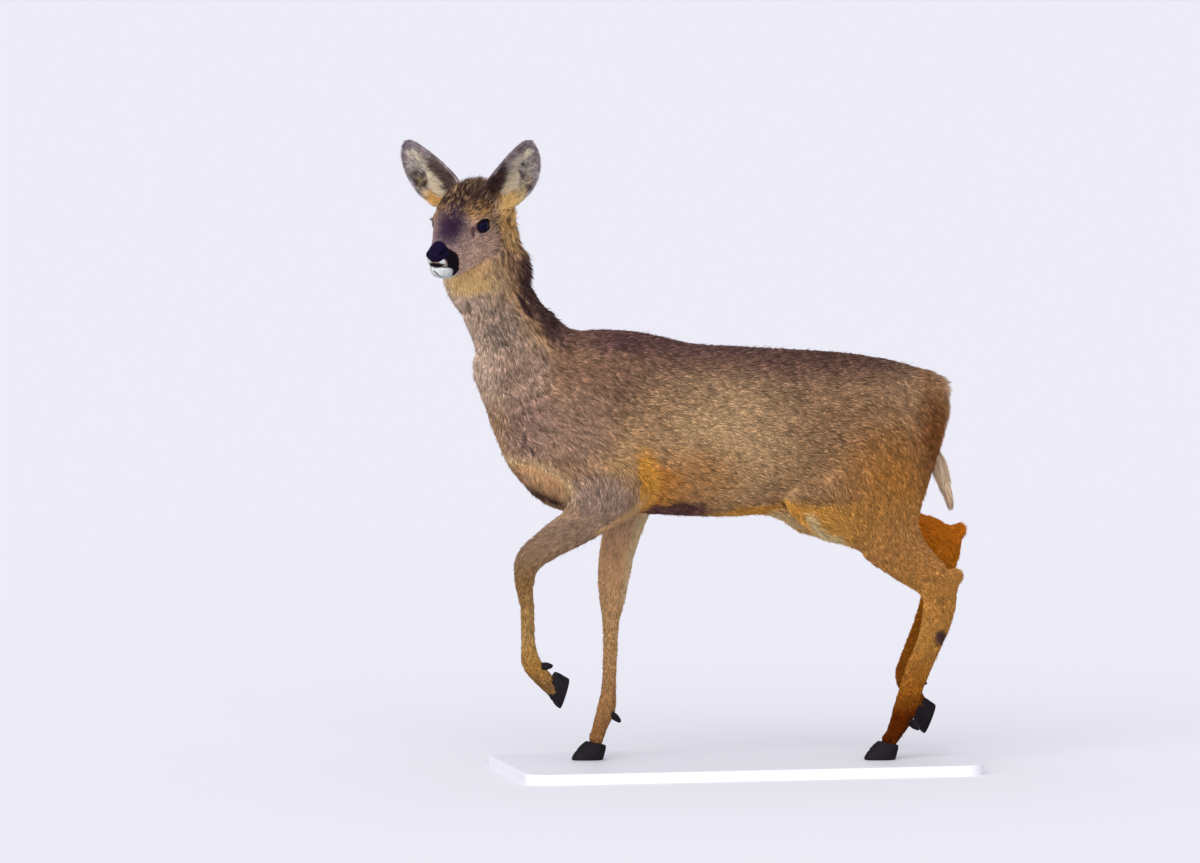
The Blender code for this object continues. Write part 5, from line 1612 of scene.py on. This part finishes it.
horn = Finish("claw_horn", 0.5, 0.08)
streaks = horn.texture("ShaderNodeTexNoise", stretch=(1.0, 1.0, 0.25), Scale=320.0, Detail=4.0).outputs["Fac"]
horn.between(streaks, (0.004, 0.003, 0.005), (0.014, 0.010, 0.012))
horn.bumped(streaks, 0.4, 0.0004)
for foot, (origin, ahead, above) in FEET.items():
    for side, word in SIDES.items():
        root, tip = (np.subtract(end, (0, off * side, 0)) for end, off in zip(DEWCLAWS[foot], DEWCLAW_ASIDE))
        shells = {"claw": claw(origin, ahead, above, side), "dewclaw": dewclaw(root, tip)}
        for kind, (points, faces) in shells.items():
            piece = mesh_piece(f"horn_{kind}_{foot}_{word}", points, faces)
            piece.data.materials.append(horn.material)
            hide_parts(f"{kind}_{foot}_{word}")

# ---------------------------------------------------------------- the tuft under the tail
# A doe's long cream hair that hangs behind the rump in winter, loose, in layers that reach a soft point.
TUFT_ROWS = [(360, 0, 470, 12, 20), (372, 0, 442, 14.5, 18), (382, 0, 410, 10, 13), (392, 0, 379, 3, 4)]
TUFT_HAIRS, TUFT_RINGS = 2600, 5
TUFT_TONES = [(0.3, (0.72, 0.52, 0.36)), (0.7, (0.85, 0.66, 0.46)), (1.1, (0.66, 0.48, 0.32))]
random = np.random.default_rng(400)
tuft_line = smooth_rows(TUFT_ROWS, 6)
from_top = random.random(TUFT_HAIRS) ** 0.8 * 0.72
turn = random.random(TUFT_HAIRS) * 2 * np.pi
out = np.sqrt(random.random(TUFT_HAIRS)) * 0.9


def on_tuft(along):
    """The tuft's middle at a share of its length, and its half depth and half width there."""
    share = np.linspace(0, 1, len(tuft_line))
    return np.stack([np.interp(along, share, column) for column in tuft_line.T], -1)


along = np.linspace(0, 1, TUFT_RINGS)[None]
travelled = from_top[:, None] + along * (0.30 + 0.25 * random.random(TUFT_HAIRS))[:, None]
middle = on_tuft(np.clip(travelled, 0, 1))
spread = out[:, None] * (0.8 + 0.25 * along)
lines = middle[..., :3] + np.stack([
    middle[..., 3] * spread * np.cos(turn)[:, None],
    middle[..., 4] * spread * np.sin(turn)[:, None],
    -40 * np.maximum(travelled - 1, 0) + 1.5 * random.standard_normal(TUFT_HAIRS)[:, None],
], -1)
lines[..., 0] += 2.0 * along**2 * random.standard_normal(TUFT_HAIRS)[:, None]
points, faces = strands(lines, 1.1 + 0.7 * random.random(TUFT_HAIRS))
tone = ramp(travelled[:, -1], TUFT_TONES)
tone = tone * (1 + 0.14 * random.standard_normal((TUFT_HAIRS, 1)))
shades = np.append(np.repeat(np.linspace(0.75, 1.05, TUFT_RINGS - 1), STRAND_SIDES), 1.1)
colours = np.repeat(tone, len(shades), 0) * np.tile(shades, TUFT_HAIRS)[:, None]
patch_up = np.repeat(np.linspace(-0.0015, 0.001, TUFT_RINGS - 1), STRAND_SIDES)
patch = np.column_stack([np.tile((-0.0015, 0.0015, 0.0), TUFT_RINGS - 1), patch_up])
places = tile(np.column_stack([turn / (2 * np.pi), from_top]), 0, 1)
tuft = coat_piece(
    "rump_tuft", points, faces, np.clip(colours, 0, 1), places, np.vstack([patch, (0.0, 0.0015)]),
)
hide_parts("tail_tuft")

# ---------------------------------------------------------------- the base
# A flat board with rounded corners, painted an even pale grey-white with a fine rolled grain.
paint = Finish("stand_paint", 0.55)
grain = paint.texture("ShaderNodeTexNoise", Scale=420.0, Detail=3.0).outputs["Fac"]
paint.between(grain, (0.70, 0.70, 0.74), (0.78, 0.78, 0.82))
paint.bumped(grain, 0.25, 0.0005)
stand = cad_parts["stand_base"]
stand.data.materials.clear()
stand.data.materials.append(paint.material)

# ---------------------------------------------------------------- the floor
# A very wide pale sheet, matt and even, that the board lies on. It runs on to the horizon.
bpy.ops.mesh.primitive_plane_add(size=190.0, location=(0, 0, 0))
floor = bpy.context.active_object
floor.name = "floor"
pale = Finish("pale_floor", 0.9, 0.1)
pale.sockets["Base Color"].default_value = (0.785, 0.785, 0.815, 1)
floor.data.materials.append(pale.material)

# ---------------------------------------------------------------- light and camera
# Even light from a pale sky all round, one very broad soft lamp from ahead, the left and above, and a weak
# low one from ahead. A long lens looks from the animal's left and a little ahead.
world = bpy.data.worlds.new("pale_sky")
bpy.context.scene.world = world
world.use_nodes = True
sky = world.node_tree.nodes["Background"].inputs
sky["Color"].default_value, sky["Strength"].default_value = (0.90, 0.90, 1.0, 1), 0.83
AZIMUTH, ELEVATION, DISTANCE, FRAME_WIDTH = np.radians(-12.0), np.radians(4.0), 15.0, 1.8
right = np.array([np.cos(AZIMUTH), np.sin(AZIMUTH), 0.0])
back = np.array([np.sin(AZIMUTH) * np.cos(ELEVATION), -np.cos(AZIMUTH) * np.cos(ELEVATION), np.sin(ELEVATION)])
up = np.cross(back, right)
target = right * -0.144 + up * 0.493 + STANDS_AT


def aimed(name, data, away):
    """A lamp or camera in the scene, this far away from the middle of the view and looking at it."""
    piece = bpy.data.objects.new(name, data)
    bpy.context.scene.collection.objects.link(piece)
    piece.location = target + away
    piece.rotation_euler = Vector(-np.array(away)).to_track_quat("-Z", "Y").to_euler()
    return piece


lamp = bpy.data.lights.new("soft_lamp", "SUN")
lamp.angle, lamp.energy, lamp.color = 1.3, 2.3, (1.0, 0.985, 0.96)
aimed("soft_lamp", lamp, (-1.6, -3.4, 1.6))
fill = bpy.data.lights.new("low_lamp", "SUN")
fill.angle, fill.energy = 1.0, 0.7
aimed("low_lamp", fill, (-3.0, -2.6, 0.35))
camera = bpy.data.cameras.new("camera")
camera.sensor_width, camera.lens, camera.clip_end = 36.0, 36.0 * DISTANCE / FRAME_WIDTH, 100.0
bpy.context.scene.camera = aimed("camera", camera, back * DISTANCE)
bpy.context.scene.view_settings.view_transform = "Standard"
